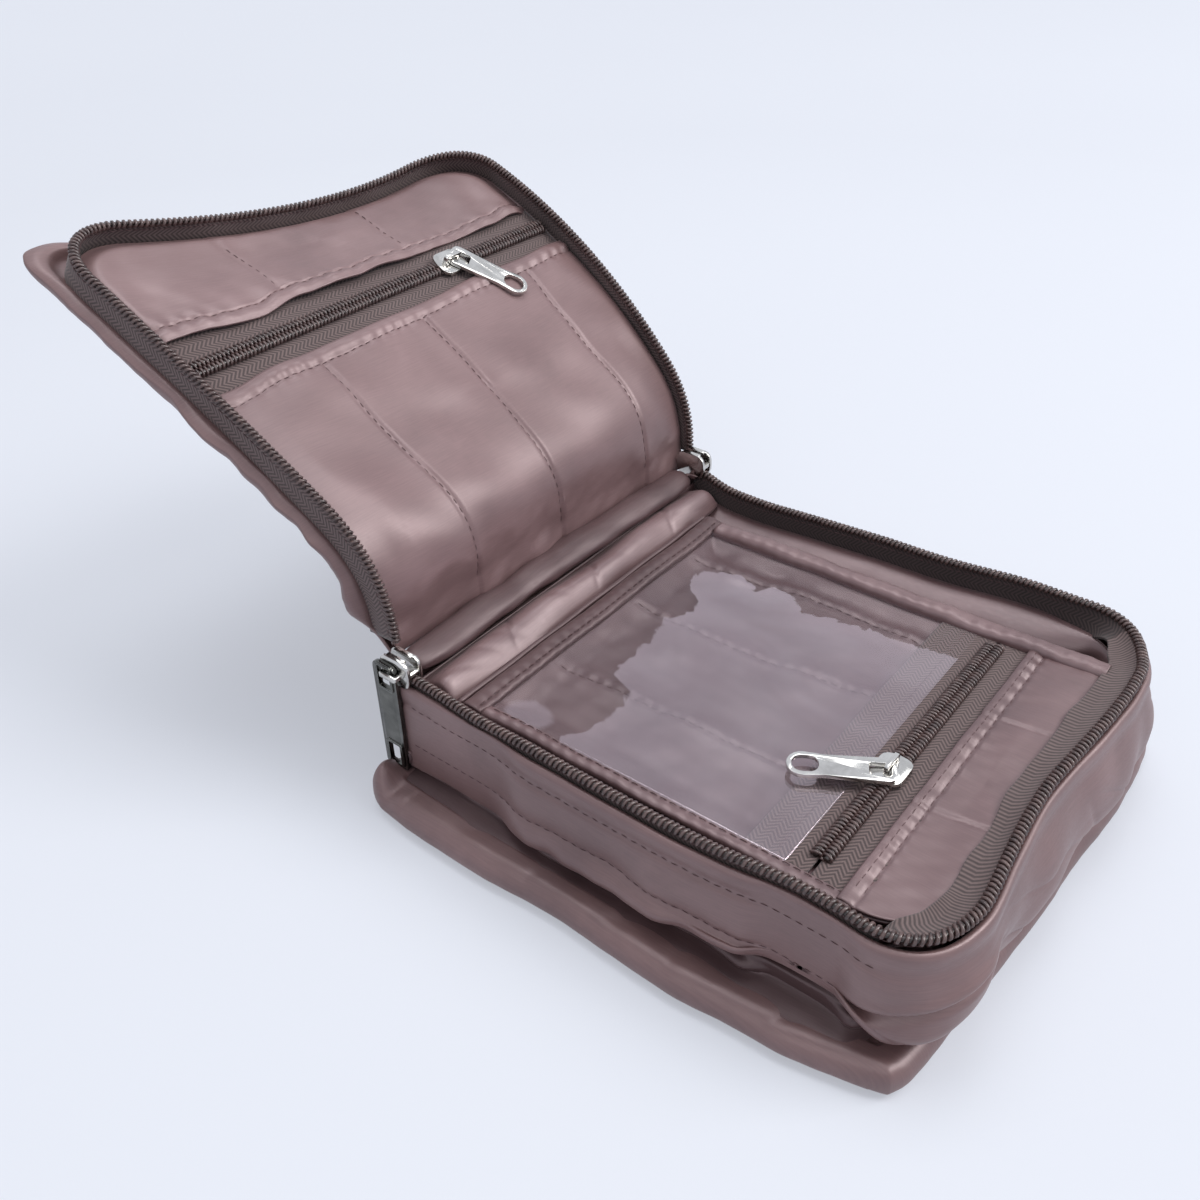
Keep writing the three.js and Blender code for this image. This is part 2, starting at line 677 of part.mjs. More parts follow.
function buildLid() {
  const lip = satin * 0.8;
  const shell = lidLayer(lidMargin, 0, coverCorner, coverNear, lidDepth);
  const pocket = lidLayer(lidMargin, satin, coverCorner - satin, coverNear + lip, lidDepth - satin);
  const mouth = lidLayer(outerLip, 0, cornerRadius, coverNear - lip, coverNear + 2 * lip);
  add(lidFrame, 'lid_cover', cut(shell, pocket, mouth, mitreTool(false)), satinOuter);
  const inset = satin + seam;
  const stiff = lidLayer(lidMargin, inset, coverCorner - inset, boardNear, boardNear + boardThickness);
  add(lidFrame, 'lid_board', cut(stiff, mitreTool(false)), board);
  const pad = lidLayer(lidMargin, inset, coverCorner - inset, foamNear, foamNear + lidFoam);
  add(lidFrame, 'lid_foam', cut(pad, mitreTool(false)), foam);
  const inner = cornerRadius - outerLip;
  const backing = lidLayer(0, outerLip, inner, pocketBack, lidTapeFar);
  add(lidFrame, 'lid_pocket_back', cut(backing, mitreTool(false)), satinInner);
  const wholeFace = lidLayer(0, outerLip, inner, panelDepth, panelDepth + satin);
  const upperStart = pocketLine + zipBand;
  const lowerEnd = pocketLine - zipBand;
  const past = 2 * caseWidth;
  const belowUpper = box(-past, upperStart, -past, past, 0, lidDepth);
  const aboveLower = box(lowerEnd, past, -past, past, 0, lidDepth);
  add(lidFrame, 'lid_panel_upper', cut(wholeFace, belowUpper), satinInner);
  add(lidFrame, 'lid_panel_lower', cut(wholeFace, aboveLower, mitreTool(false)), satinInner);
  const line = zipLine(0, lidLength);
  const lean = (z) => z * mitre + mitreClear;
  const tape = uWall(line, rectangle(-tapeHalf, tapeHalf, lidTapeNear, lidTapeFar), lean);
  add(lidFrame, 'lid_zip_tape', tape, tapeCloth);
  add(lidFrame, 'lid_zip_coil', uCoil(line, coilNear, coilFar, lean), coilNylon);
}

// Both halves of a flat zip that runs along Y on the line x, with its tapes' middle at the given level
function addFlatZip(parent, names, x, level, [y0, y1], tapeWidths, coilEnds) {
  const halfTape = pocketTapeThickness / 2;
  for (const [i, side] of [-1, 1].entries()) {
    const near = coilFar + seam;
    const edges = [x + side * near, x + side * (near + tapeWidths[i])].sort((a, b) => a - b);
    const tape = box(edges[0], edges[1], y0, y1, level - halfTape, level + halfTape);
    add(parent, names[i], tape, tapeCloth);
    const coil = straightCoil(y0, y1, coilNear, coilFar, (share, across, out) => {
      const y = y0 + coilEnds + share * (y1 - y0 - 2 * coilEnds);
      return new THREE.Vector3(x + side * out, y, level + across);
    });
    add(parent, names[i + 2], coil, coilNylon);
  }
}

function buildLidPocket() {
  const half = caseWidth / 2 - outerLip;
  const names = ['lid_pocket_tape_lower', 'lid_pocket_tape_upper', 'lid_pocket_coil_lower', 'lid_pocket_coil_upper'];
  addFlatZip(lidFrame, names, pocketLine, pocketZipLevel, [-half, half], [pocketTape, pocketTape], 0);
  const place = new THREE.Vector3(pocketLine, pocketSliderAt, pocketZipLevel);
  const travel = new THREE.Vector3(0, -1, 0);
  const outward = new THREE.Vector3(0, 0, -1);
  const sliderNames = ['lid_pocket_slider', 'lid_pocket_pull'];
  addSlider(lidFrame, sliderNames, place, travel, outward, innerPullBody(), innerPullAngle, nickel);
}

// Clear page: a satin back and a vinyl window in folded bindings, with a zip across it near the free end
const pageFrame = new THREE.Group();
pageFrame.position.set(pageAxis, 0, pageLevel);
baseFrame.add(pageFrame);
const bindingEdge = pageCord + seam;
const openHalf = bindingOpen / 2;
const bindingHalf = openHalf + bindingCloth;
const sheetFront = pageFront + bindingCloth + seam;
const sheetRear = pageRear - bindingCloth - seam;
const sheetNear = bindingEdge + bindingCloth + seam;
const cornerStart = pageLength - pageCorner;

// Folded binding, open towards the page: width runs into the page, length along it
function bindingSection(width) {
  return [
    [0, -bindingHalf],
    [width, -bindingHalf],
    [width, -openHalf],
    [bindingCloth, -openHalf],
    [bindingCloth, openHalf],
    [width, openHalf],
    [width, bindingHalf],
    [0, bindingHalf],
  ];
}

function sideBinding(name, edge, inward, x1) {
  const section = bindingSection(bindingWidth);
  const x0 = bindingEdge + bindingWidth + seam;
  const rings = [x0, x1].map((x) => section.map(([into, z]) => new THREE.Vector3(x, edge + inward * into, z)));
  add(pageFrame, name, loft(rings, [section, section]), satinInner);
}

// Front edge of the page's sheets, which turns round the case's free corner
function sheetFrontAt(x) {
  if (x <= cornerStart) return sheetFront;
  const across = Math.min(x - cornerStart, pageCorner);
  return sheetFront + pageCorner - Math.sqrt(pageCorner ** 2 - across ** 2);
}

// A thin sheet of the page from x0 to x1. Inside its sewn edges it hangs down by sag.
function pageSheet(x0, x1, level, thickness, sag) {
  const edge = bindingWidth;
  const slope = [edge, edge + pageSlope / 2, edge + pageSlope];
  const wanted = [x0, x1];
  for (const into of slope) wanted.push(x0 + into, x1 - into);
  for (let k = 0; k < cornerSteps; k += 1) {
    wanted.push(cornerStart + pageCorner * Math.sin((Math.PI / 2) * (k / cornerSteps)));
  }
  const stops = wanted.filter((x) => x >= x0 && x <= x1).sort((a, b) => a - b);
  const rings = [];
  const flats = [];
  for (const x of stops) {
    const front = sheetFrontAt(x);
    const across = [front, ...slope.map((into) => front + into)];
    across.push(...slope.map((into) => sheetRear - into).reverse(), sheetRear);
    const reach = smooth((Math.min(x - x0, x1 - x) - edge) / pageSlope);
    const places = across.map((y) => {
      const depth = smooth((Math.min(y - front, sheetRear - y) - edge) / pageSlope);
      return [y, level - sag * reach * depth];
    });
    const section = [...places, ...places.map(([y, z]) => [y, z + thickness]).reverse()];
    flats.push(section);
    rings.push(section.map(([y, z]) => new THREE.Vector3(x, y, z)));
  }
  return loft(rings, flats);
}

function buildPage() {
  const section = bindingSection(bindingWidth);
  const spineRings = [pageFront, pageRear].map((y) => {
    return section.map(([into, z]) => new THREE.Vector3(bindingEdge + into, y, z));
  });
  add(pageFrame, 'page_spine_binding', loft(spineRings, [section, section]), satinDark);
  sideBinding('page_rear_binding', pageRear, -1, pageLength);
  sideBinding('page_front_binding', pageFront, 1, cornerStart - seam);
  const backLevel = -openHalf + layerGap;
  add(pageFrame, 'page_back', pageSheet(sheetNear, pageLength, backLevel, thinSatin, pageSag), satinInner);
  const sheetLevel = pocketTapeThickness / 2 + layerGap;
  const windowEnd = pageZip - coilFar - seam - pageTape + windowLap;
  add(pageFrame, 'page_window', pageSheet(sheetNear, windowEnd, sheetLevel, windowThickness, 0), clearVinyl);
  const stripStart = pageZip + coilFar + seam + pocketTape / 2;
  const strip = pageSheet(stripStart, pageLength, sheetLevel, thinSatin, 0);
  add(pageFrame, 'page_end_strip', strip, satinInner);
  const names = ['page_tape_left', 'page_tape_right', 'page_coil_left', 'page_coil_right'];
  addFlatZip(pageFrame, names, pageZip, 0, [sheetFront, sheetRear], [pageTape, pocketTape], bindingWidth + pageCoilClear);
  const place = new THREE.Vector3(pageZip, pageSliderAt, 0);
  const travel = new THREE.Vector3(0, 1, 0);
  const outward = new THREE.Vector3(0, 0, 1);
  addSlider(pageFrame, ['page_slider', 'page_pull'], place, travel, outward, innerPullBody(), innerPullAngle, nickel);
  const cord = new THREE.CylinderGeometry(pageCord, pageCord, pageRear - pageFront, 10);
  const cordMesh = add(baseFrame, 'page_seam_cord', cord, satinDark);
  cordMesh.position.set(pageAxis, (pageFront + pageRear) / 2, pageLevel);
}

// The two sliders of the main zip wait at the hinge, with their pulls hanging outside the walls
function buildMainSliders() {
  const half = caseWidth / 2;
  const travel = new THREE.Vector3(1, 0, 0);
  for (const [name, side, turn] of [['front', -1, 0], ['back', 1, 180]]) {
    const place = new THREE.Vector3(sliderHome, side * half, baseHeight);
    const outward = new THREE.Vector3(0, side, 0);
    const names = [`${name}_slider`, `${name}_pull`];
    addSlider(baseFrame, names, place, travel, outward, outerPullBody(), turn, darkNickel);
  }
}

buildBottom();
buildWalls();
buildSpine();
buildRoot();
buildLid();
buildLidPocket();
buildPage();
buildMainSliders();

export default organizer;
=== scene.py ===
import math

import bpy
import bmesh
import numpy as np
from mathutils import Matrix, Vector


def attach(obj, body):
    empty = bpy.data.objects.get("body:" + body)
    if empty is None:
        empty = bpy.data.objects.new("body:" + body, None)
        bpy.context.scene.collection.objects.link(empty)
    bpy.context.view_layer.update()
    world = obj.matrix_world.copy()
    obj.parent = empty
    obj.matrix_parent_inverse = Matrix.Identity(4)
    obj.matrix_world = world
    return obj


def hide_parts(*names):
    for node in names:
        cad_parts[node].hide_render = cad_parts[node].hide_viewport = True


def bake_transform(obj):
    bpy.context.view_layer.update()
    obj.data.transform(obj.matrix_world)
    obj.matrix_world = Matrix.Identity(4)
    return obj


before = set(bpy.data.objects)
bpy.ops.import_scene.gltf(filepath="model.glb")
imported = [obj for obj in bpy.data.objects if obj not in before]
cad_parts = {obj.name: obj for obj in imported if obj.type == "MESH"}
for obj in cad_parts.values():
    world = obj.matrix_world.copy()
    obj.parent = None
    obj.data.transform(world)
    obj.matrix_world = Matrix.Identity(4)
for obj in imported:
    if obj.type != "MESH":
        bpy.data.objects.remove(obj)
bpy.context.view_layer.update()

# Lengths below are millimetres, in the part's frame. Meshes are written in metres.
MM = 0.001

# Camera of the photograph
CAMERA_AT = (121.5, -234.2, 247.1)
CAMERA_YAW = 38.72
CAMERA_PITCH = 35.61
CAMERA_ROLL = -1.27
CAMERA_LENS = 36.036


def unit(v):
    v = np.asarray(v, float)
    return v / np.maximum(np.linalg.norm(v, axis=-1, keepdims=True), 1e-12)


def make_camera():
    yaw, pitch, roll = (math.radians(a) for a in (CAMERA_YAW, CAMERA_PITCH, CAMERA_ROLL))
    fwd = Vector((-math.sin(yaw) * math.cos(pitch), math.cos(yaw) * math.cos(pitch), -math.sin(pitch)))
    side = Vector((math.cos(yaw), math.sin(yaw), 0))
    top = side.cross(fwd)
    right = math.cos(roll) * side + math.sin(roll) * top
    up = -math.sin(roll) * side + math.cos(roll) * top
    data = bpy.data.cameras.new("photo_camera")
    data.sensor_width = 36
    data.sensor_fit = "HORIZONTAL"
    data.lens = CAMERA_LENS
    data.clip_start = 0.01
    data.clip_end = 20
    cam = bpy.data.objects.new("photo_camera", data)
    bpy.context.scene.collection.objects.link(cam)
    turn = Matrix((right, up, -fwd)).transposed().to_4x4()
    cam.matrix_world = Matrix.Translation(Vector(CAMERA_AT) * MM) @ turn
    bpy.context.scene.camera = cam


make_camera()


# Smooth repeatable waves, about -1 to 1, that stand for the unevenness of cloth
def waves(a, b, size, seed, octaves=3):
    rng = np.random.default_rng(seed)
    total = np.zeros(np.broadcast(a, b).shape)
    amount = 0.0
    for octave in range(octaves):
        strength = 0.6 ** octave
        for _ in range(4):
            turn = rng.uniform(0, 2 * math.pi)
            k = 2 * math.pi / (size * rng.uniform(0.75, 1.35)) * 1.8 ** octave
            phase = rng.uniform(0, 2 * math.pi)
            total = total + strength * np.sin(k * (math.cos(turn) * a + math.sin(turn) * b) + phase)
            amount += strength ** 2 / 2
    return total / (1.6 * math.sqrt(amount))


# Narrow creases along wandering lines, 0 to 1
def creases(a, b, size, seed, sharp=6.0):
    line = waves(a, b, size, seed, 2)
    return np.exp(-np.abs(line) * sharp)


def ease(x):
    x = np.clip(x, 0.0, 1.0)
    return x * x * (3 - 2 * x)


def bump(x, middle, half):
    t = np.clip(np.abs(x - middle) / half, 0, 1)
    return (1 - t * t) ** 2


class Skin:
    """Collects the faces of one piece, with a material number and a uv in millimetres for each point."""

    def __init__(self):
        self.points, self.uvs, self.faces, self.mats, self.count = [], [], [], [], 0

    def add(self, points, uvs, faces, mat):
        points = np.asarray(points, float).reshape(-1, 3)
        self.points.append(points)
        self.uvs.append(np.asarray(uvs, float).reshape(-1, 2))
        faces = np.asarray(faces, int) + self.count
        self.faces.append(faces)
        self.mats.append(np.full(len(faces), mat))
        self.count += len(points)

    def grid(self, P, uv=None, mat=0, wrap_u=False, wrap_v=False):
        P = np.asarray(P, float)
        nu, nv = P.shape[:2]
        if uv is None:
            uv = arc_uv(P)
        i = np.arange(nu if wrap_u else nu - 1)
        j = np.arange(nv if wrap_v else nv - 1)
        I, J = np.meshgrid(i, j, indexing="ij")
        I1, J1 = (I + 1) % nu, (J + 1) % nv
        faces = np.stack([I * nv + J, I1 * nv + J, I1 * nv + J1, I * nv + J1], -1).reshape(-1, 4)
        self.add(P, uv, faces, mat)

    def layers(self, P, N, upper, lower, uv=None, mat=0):
        """A closed sheet round the grid P: one face at P + N * upper, the other at P + N * lower."""
        P, N = np.asarray(P, float), np.asarray(N, float)
        if uv is None:
            uv = arc_uv(P)
        up = np.broadcast_to(upper, P.shape[:2])[..., None]
        low = np.broadcast_to(lower, P.shape[:2])[..., None]
        nu, nv = P.shape[:2]
        I, J = np.meshgrid(np.arange(nu - 1), np.arange(nv - 1), indexing="ij")
        quad = np.stack([I * nv + J, (I + 1) * nv + J, (I + 1) * nv + J + 1, I * nv + J + 1], -1).reshape(-1, 4)
        n = nu * nv
        edge = [(i, 0) for i in range(nu)] + [(nu - 1, j) for j in range(1, nv)]
        edge += [(i, nv - 1) for i in range(nu - 2, -1, -1)] + [(0, j) for j in range(nv - 2, 0, -1)]
        ring = np.array([i * nv + j for i, j in edge])
        after = np.roll(ring, -1)
        side = np.stack([ring, after, after + n, ring + n], -1)
        faces = np.concatenate([quad[:, ::-1], quad + n, side[:, ::-1]])
        points = np.concatenate([(P + N * up).reshape(-1, 3), (P + N * low).reshape(-1, 3)])
        uvs = np.concatenate([uv.reshape(-1, 2), uv.reshape(-1, 2)])
        self.add(points, uvs, faces, mat)

    def tube(self, path, radius, mat=0, sides=8, closed=False, flat=1.0, up=None):
        path = np.asarray(path, float)
        n = len(path)
        if closed:
            T = unit(np.roll(path, -1, 0) - np.roll(path, 1, 0))
        else:
            T = unit(np.gradient(path, axis=0))
        if up is None:
            A = np.zeros_like(path)
            a = unit(np.cross(T[0], (0.3, 0.2, 1.0)))
            for i in range(n):
                a = unit(a - T[i] * np.dot(a, T[i]))
                A[i] = a
        else:
            A = unit(np.cross(T, np.broadcast_to(up, T.shape)))
        B = np.cross(T, A)
        turn = np.linspace(0, 2 * math.pi, sides, endpoint=False)
        r = np.broadcast_to(radius, (n,))[:, None, None]
        P = path[:, None] + r * (A[:, None] * np.cos(turn)[None, :, None] + flat * B[:, None] * np.sin(turn)[None, :, None])
        along = np.concatenate([[0], np.cumsum(np.linalg.norm(np.diff(path, axis=0), axis=1))])
        uv = np.stack(np.broadcast_arrays(along[:, None], (turn * float(np.mean(radius)))[None, :]), -1)
        self.grid(P, uv, mat, wrap_u=closed, wrap_v=True)
        if not closed:
            for ring, back in ((0, True), (n - 1, False)):
                ids = np.arange(sides)
                centre = path[ring][None]
                pts = np.concatenate([P[ring], centre])
                tri = np.stack([ids, (ids + 1) % sides, np.full(sides, sides), np.full(sides, sides)], -1)
                self.add(pts, np.zeros((sides + 1, 2)), tri if back else tri[:, ::-1], mat)

    def stitches(self, path, normal, mat, pitch=2.6, length=1.9, radius=0.16, lift=0.1):
        """A row of short threads along a path, a little sunk at both ends."""
        path, normal = np.asarray(path, float), np.broadcast_to(normal, np.shape(path))
        along = np.concatenate([[0], np.cumsum(np.linalg.norm(np.diff(path, axis=0), axis=1))])
        count = max(int(along[-1] / pitch), 1)
        for k in range(count):
            at = (k + 0.5) * along[-1] / count + np.linspace(-0.5, 0.5, 5) * length
            p = np.stack([np.interp(at, along, path[:, i]) for i in range(3)], -1)
            m = unit(np.stack([np.interp(at, along, normal[:, i]) for i in range(3)], -1))
            drop = np.array([-1.6, 0.4, 1, 0.4, -1.6])[:, None] * lift
            self.tube(p + m * drop, radius * np.array([0.6, 1, 1, 1, 0.6]), mat, sides=5)

    def build(self, name, materials, smooth=True, weld=0.0003):
        points = np.concatenate(self.points) * MM
        uvs = np.concatenate(self.uvs)
        faces = np.concatenate(self.faces)
        mats = np.concatenate(self.mats)
        mesh = bpy.data.meshes.new(name)
        clean = [[a, b, c] if c == d else [a, b, c, d] for a, b, c, d in faces.tolist()]
        mesh.from_pydata(points.tolist(), [], clean)
        for material in materials:
            mesh.materials.append(material)
        mesh.polygons.foreach_set("material_index", mats.astype(np.int32))
        layer = mesh.uv_layers.new(name="cloth_mm")
        loops = np.zeros(len(mesh.loops), np.int32)
        mesh.loops.foreach_get("vertex_index", loops)
        layer.data.foreach_set("uv", uvs[loops].astype(np.float32).ravel())
        work = bmesh.new()
        work.from_mesh(mesh)
        bmesh.ops.remove_doubles(work, verts=work.verts, dist=weld * MM)
        bmesh.ops.recalc_face_normals(work, faces=work.faces)
        work.to_mesh(mesh)
        work.free()
        mesh.polygons.foreach_set("use_smooth", np.full(len(mesh.polygons), smooth))
        mesh.update()
        obj = bpy.data.objects.new(name, mesh)
        bpy.context.scene.collection.objects.link(obj)
        return obj


def arc_uv(P):
    """Lengths along both directions of a grid, in millimetres."""
    u = np.concatenate([[0], np.cumsum(np.linalg.norm(np.diff(P, axis=0), axis=-1).mean(axis=1))])
    v = np.concatenate([[0], np.cumsum(np.linalg.norm(np.diff(P, axis=1), axis=-1).mean(axis=0))])
    return np.stack(np.meshgrid(u, v, indexing="ij"), -1)


def grid_normals(P):
    return unit(np.cross(np.gradient(P, axis=0), np.gradient(P, axis=1)))


# Materials
def fresh(name):
    mat = bpy.data.materials.new(name)
    mat.use_nodes = True
    tree = mat.node_tree
    tree.nodes.clear()
    out = tree.nodes.new("ShaderNodeOutputMaterial")
    shader = tree.nodes.new("ShaderNodeBsdfPrincipled")
    tree.links.new(shader.outputs[0], out.inputs[0])
    return mat, tree, shader


def node(tree, kind, links=(), **values):
    made = tree.nodes.new(kind)
    for key, value in values.items():
        if key.startswith("in_"):
            made.inputs[int(key[3:])].default_value = value
        else:
            setattr(made, key, value)
    for index, source in links:
        tree.links.new(source, made.inputs[index])
    return made


def math_node(tree, operation, a, b=0.0, c=0.0):
    made = tree.nodes.new("ShaderNodeMath")
    made.operation = operation
    for i, value in enumerate((a, b, c)):
        if isinstance(value, (int, float)):
            made.inputs[i].default_value = value
        else:
            tree.links.new(value, made.inputs[i])
    return made.outputs[0]


def linear(rgb):
    out = []
    for c in rgb:
        c = c / 255
        out.append(c / 12.92 if c <= 0.04045 else ((c + 0.055) / 1.055) ** 2.4)
    return (*out, 1.0)


def noise(tree, coords, scale, detail=3.0, rough=0.55, distortion=0.0, kind="FBM"):
    made = tree.nodes.new("ShaderNodeTexNoise")
    made.noise_type = kind
    made.inputs["Scale"].default_value = scale
    made.inputs["Detail"].default_value = detail
    made.inputs["Roughness"].default_value = rough
    made.inputs["Distortion"].default_value = distortion
    tree.links.new(coords, made.inputs["Vector"])
    return made.outputs[0]


def stretched(tree, coords, scale):
    made = tree.nodes.new("ShaderNodeMapping")
    made.inputs["Scale"].default_value = scale
    tree.links.new(coords, made.inputs["Vector"])
    return made.outputs[0]


def ramp(tree, value, stops):
    made = tree.nodes.new("ShaderNodeValToRGB")
    ramp_ = made.color_ramp
    while len(ramp_.elements) < len(stops):
        ramp_.elements.new(0.5)
    for element, (place, colour) in zip(ramp_.elements, stops):
        element.position = place
        element.color = colour
    tree.links.new(value, made.inputs[0])
    return made.outputs[0]


def satin(name, colour, light, dark, rough=0.34, thread=0.5, crease=0.5, shine=1.0):
    """Silky satin: fine threads along one direction, faint creases, and a colour that varies a little."""
    mat, tree, shader = fresh(name)
    uv = node(tree, "ShaderNodeTexCoord").outputs["UV"]
    place = node(tree, "ShaderNodeTexCoord").outputs["Object"]
    threads = noise(tree, stretched(tree, uv, (0.12, 2.6, 1.0)), 1.0, 4.0, 0.6)
    cross = noise(tree, stretched(tree, uv, (3.2, 0.3, 1.0)), 1.0, 3.0, 0.5)
    cloudy = noise(tree, place, 26.0, 4.0, 0.55, 0.6)
    folds = noise(tree, place, 60.0, 4.0, 0.5, 1.2, "RIDGED_MULTIFRACTAL")
    swell = noise(tree, place, 24.0, 2.0, 0.4, 0.8)
    mix = math_node(tree, "ADD", math_node(tree, "MULTIPLY", threads, 0.35), math_node(tree, "MULTIPLY", cloudy, 0.65))
    tone = ramp(tree, mix, [(0.32, linear(dark)), (0.5, linear(colour)), (0.68, linear(light))])
    tree.links.new(tone, shader.inputs["Base Color"])
    grain = noise(tree, stretched(tree, uv, (0.7, 4.2, 1.0)), 1.0, 2.0, 0.6)
    gloss = math_node(tree, "MULTIPLY_ADD", grain, 0.34, rough - 0.17)
    tree.links.new(gloss, shader.inputs["Roughness"])
    shader.inputs["Specular IOR Level"].default_value = shine
    shader.inputs["Specular Tint"].default_value = linear((255, 238, 240))
    shader.inputs["Sheen Weight"].default_value = 0.1
    shader.inputs["Sheen Roughness"].default_value = 0.35
    shader.inputs["Sheen Tint"].default_value = linear((236, 216, 220))
    shader.inputs["Anisotropic"].default_value = 0.5
    weave = math_node(tree, "ADD", math_node(tree, "MULTIPLY", grain, 0.6), math_node(tree, "MULTIPLY", cross, 0.4))
    soft = node(tree, "ShaderNodeBump", [(2, swell)], in_0=0.28 * crease, in_1=0.003)
    broad = node(tree, "ShaderNodeBump", [(2, folds)], in_0=0.22 * crease, in_1=0.0012)
    fine = node(tree, "ShaderNodeBump", [(2, weave)], in_0=0.3 * thread, in_1=0.0004)
    tree.links.new(soft.outputs[0], broad.inputs["Normal"])
    tree.links.new(broad.outputs[0], fine.inputs["Normal"])
    tree.links.new(fine.outputs[0], shader.inputs["Normal"])
    return mat


def tape_cloth(name, colour, light, dark, step=2.1):
    """Herringbone zip tape. The uv's first value runs along the tape."""
    mat, tree, shader = fresh(name)
    uv = node(tree, "ShaderNodeTexCoord").outputs["UV"]
    parts = node(tree, "ShaderNodeSeparateXYZ", [(0, uv)])
    along, across = parts.outputs[0], parts.outputs[1]
    zigzag = math_node(tree, "PINGPONG", across, step)
    slanted = math_node(tree, "MULTIPLY", math_node(tree, "ADD", along, zigzag), 2 * math.pi / 1.35)
    rib = math_node(tree, "MULTIPLY_ADD", math_node(tree, "SINE", slanted), 0.5, 0.5)
    fuzz = noise(tree, uv, 2.2, 4.0, 0.6)
    mix = math_node(tree, "ADD", math_node(tree, "MULTIPLY", rib, 0.55), math_node(tree, "MULTIPLY", fuzz, 0.45))
    tone = ramp(tree, mix, [(0.2, linear(dark)), (0.5, linear(colour)), (0.82, linear(light))])
    tree.links.new(tone, shader.inputs["Base Color"])
    shader.inputs["Roughness"].default_value = 0.78
    shader.inputs["Sheen Weight"].default_value = 0.25
    shader.inputs["Sheen Roughness"].default_value = 0.5
    relief = node(tree, "ShaderNodeBump", [(2, mix)], in_0=0.8, in_1=0.0006)
    tree.links.new(relief.outputs[0], shader.inputs["Normal"])
    return mat


def nylon(name, colour, light, dark):
    mat, tree, shader = fresh(name)
    place = node(tree, "ShaderNodeTexCoord").outputs["Object"]
    patches = noise(tree, place, 420.0, 3.0, 0.6)
    tone = ramp(tree, patches, [(0.3, linear(dark)), (0.5, linear(colour)), (0.75, linear(light))])
    tree.links.new(tone, shader.inputs["Base Color"])
    tree.links.new(math_node(tree, "MULTIPLY_ADD", patches, 0.25, 0.2), shader.inputs["Roughness"])
    shader.inputs["Coat Weight"].default_value = 0.25
    shader.inputs["Coat Roughness"].default_value = 0.25
    relief = node(tree, "ShaderNodeBump", [(2, patches)], in_0=0.12, in_1=0.0002)
    tree.links.new(relief.outputs[0], shader.inputs["Normal"])
    return mat


def plated(name, colour, dark, rough):
    mat, tree, shader = fresh(name)
    place = node(tree, "ShaderNodeTexCoord").outputs["Object"]
    cloudy = noise(tree, place, 180.0, 4.0, 0.6, 0.5)
    scratch = noise(tree, stretched(tree, place, (300.0, 2600.0, 700.0)), 1.0, 3.0, 0.7)
    tone = ramp(tree, cloudy, [(0.3, linear(dark)), (0.7, linear(colour))])
    tree.links.new(tone, shader.inputs["Base Color"])
    shader.inputs["Metallic"].default_value = 1.0
    wear = math_node(tree, "ADD", math_node(tree, "MULTIPLY", cloudy, 0.1), math_node(tree, "MULTIPLY", scratch, 0.1))
    tree.links.new(math_node(tree, "ADD", wear, rough - 0.1), shader.inputs["Roughness"])
    relief = node(tree, "ShaderNodeBump", [(2, scratch)], in_0=0.05, in_1=0.0001)
    tree.links.new(relief.outputs[0], shader.inputs["Normal"])
    return mat


# Outline of the painted reflection on the film, in the part's frame: x for places in y, and y for places in x
GLARE_LEFT = ((-64, -31), (-60, -32), (-52, -27.5), (-44, -26.4), (-35, -28.7), (-32, -36), (-28, -37.8), (-19, -36.9), (-12, -38.8),
              (-3, -39.5), (5, -35.4), (10.5, -37.6), (15.7, -43.7), (22.7, -46))
GLARE_REAR = ((-46, 23), (-34, 29.5), (-25.8, 24.4), (-22.6, 30), (-14.8, 28.7), (-9.4, 23.9), (-4.6, 25.6), (7, 28.1), (19.4, 28.5), (32, 30.6))


def traced(tree, value, places):
    """A line through the given places, as a value of the shader. Both numbers run from -100 to 100 mm."""
    share = math_node(tree, "MULTIPLY_ADD", value, 0.005, 0.5)
    stops = [(0.5 + a * 0.005, (0.5 + b * 0.005,) * 3 + (1.0,)) for a, b in places]
    return math_node(tree, "MULTIPLY_ADD", ramp(tree, share, stops), 200.0, -100.0)


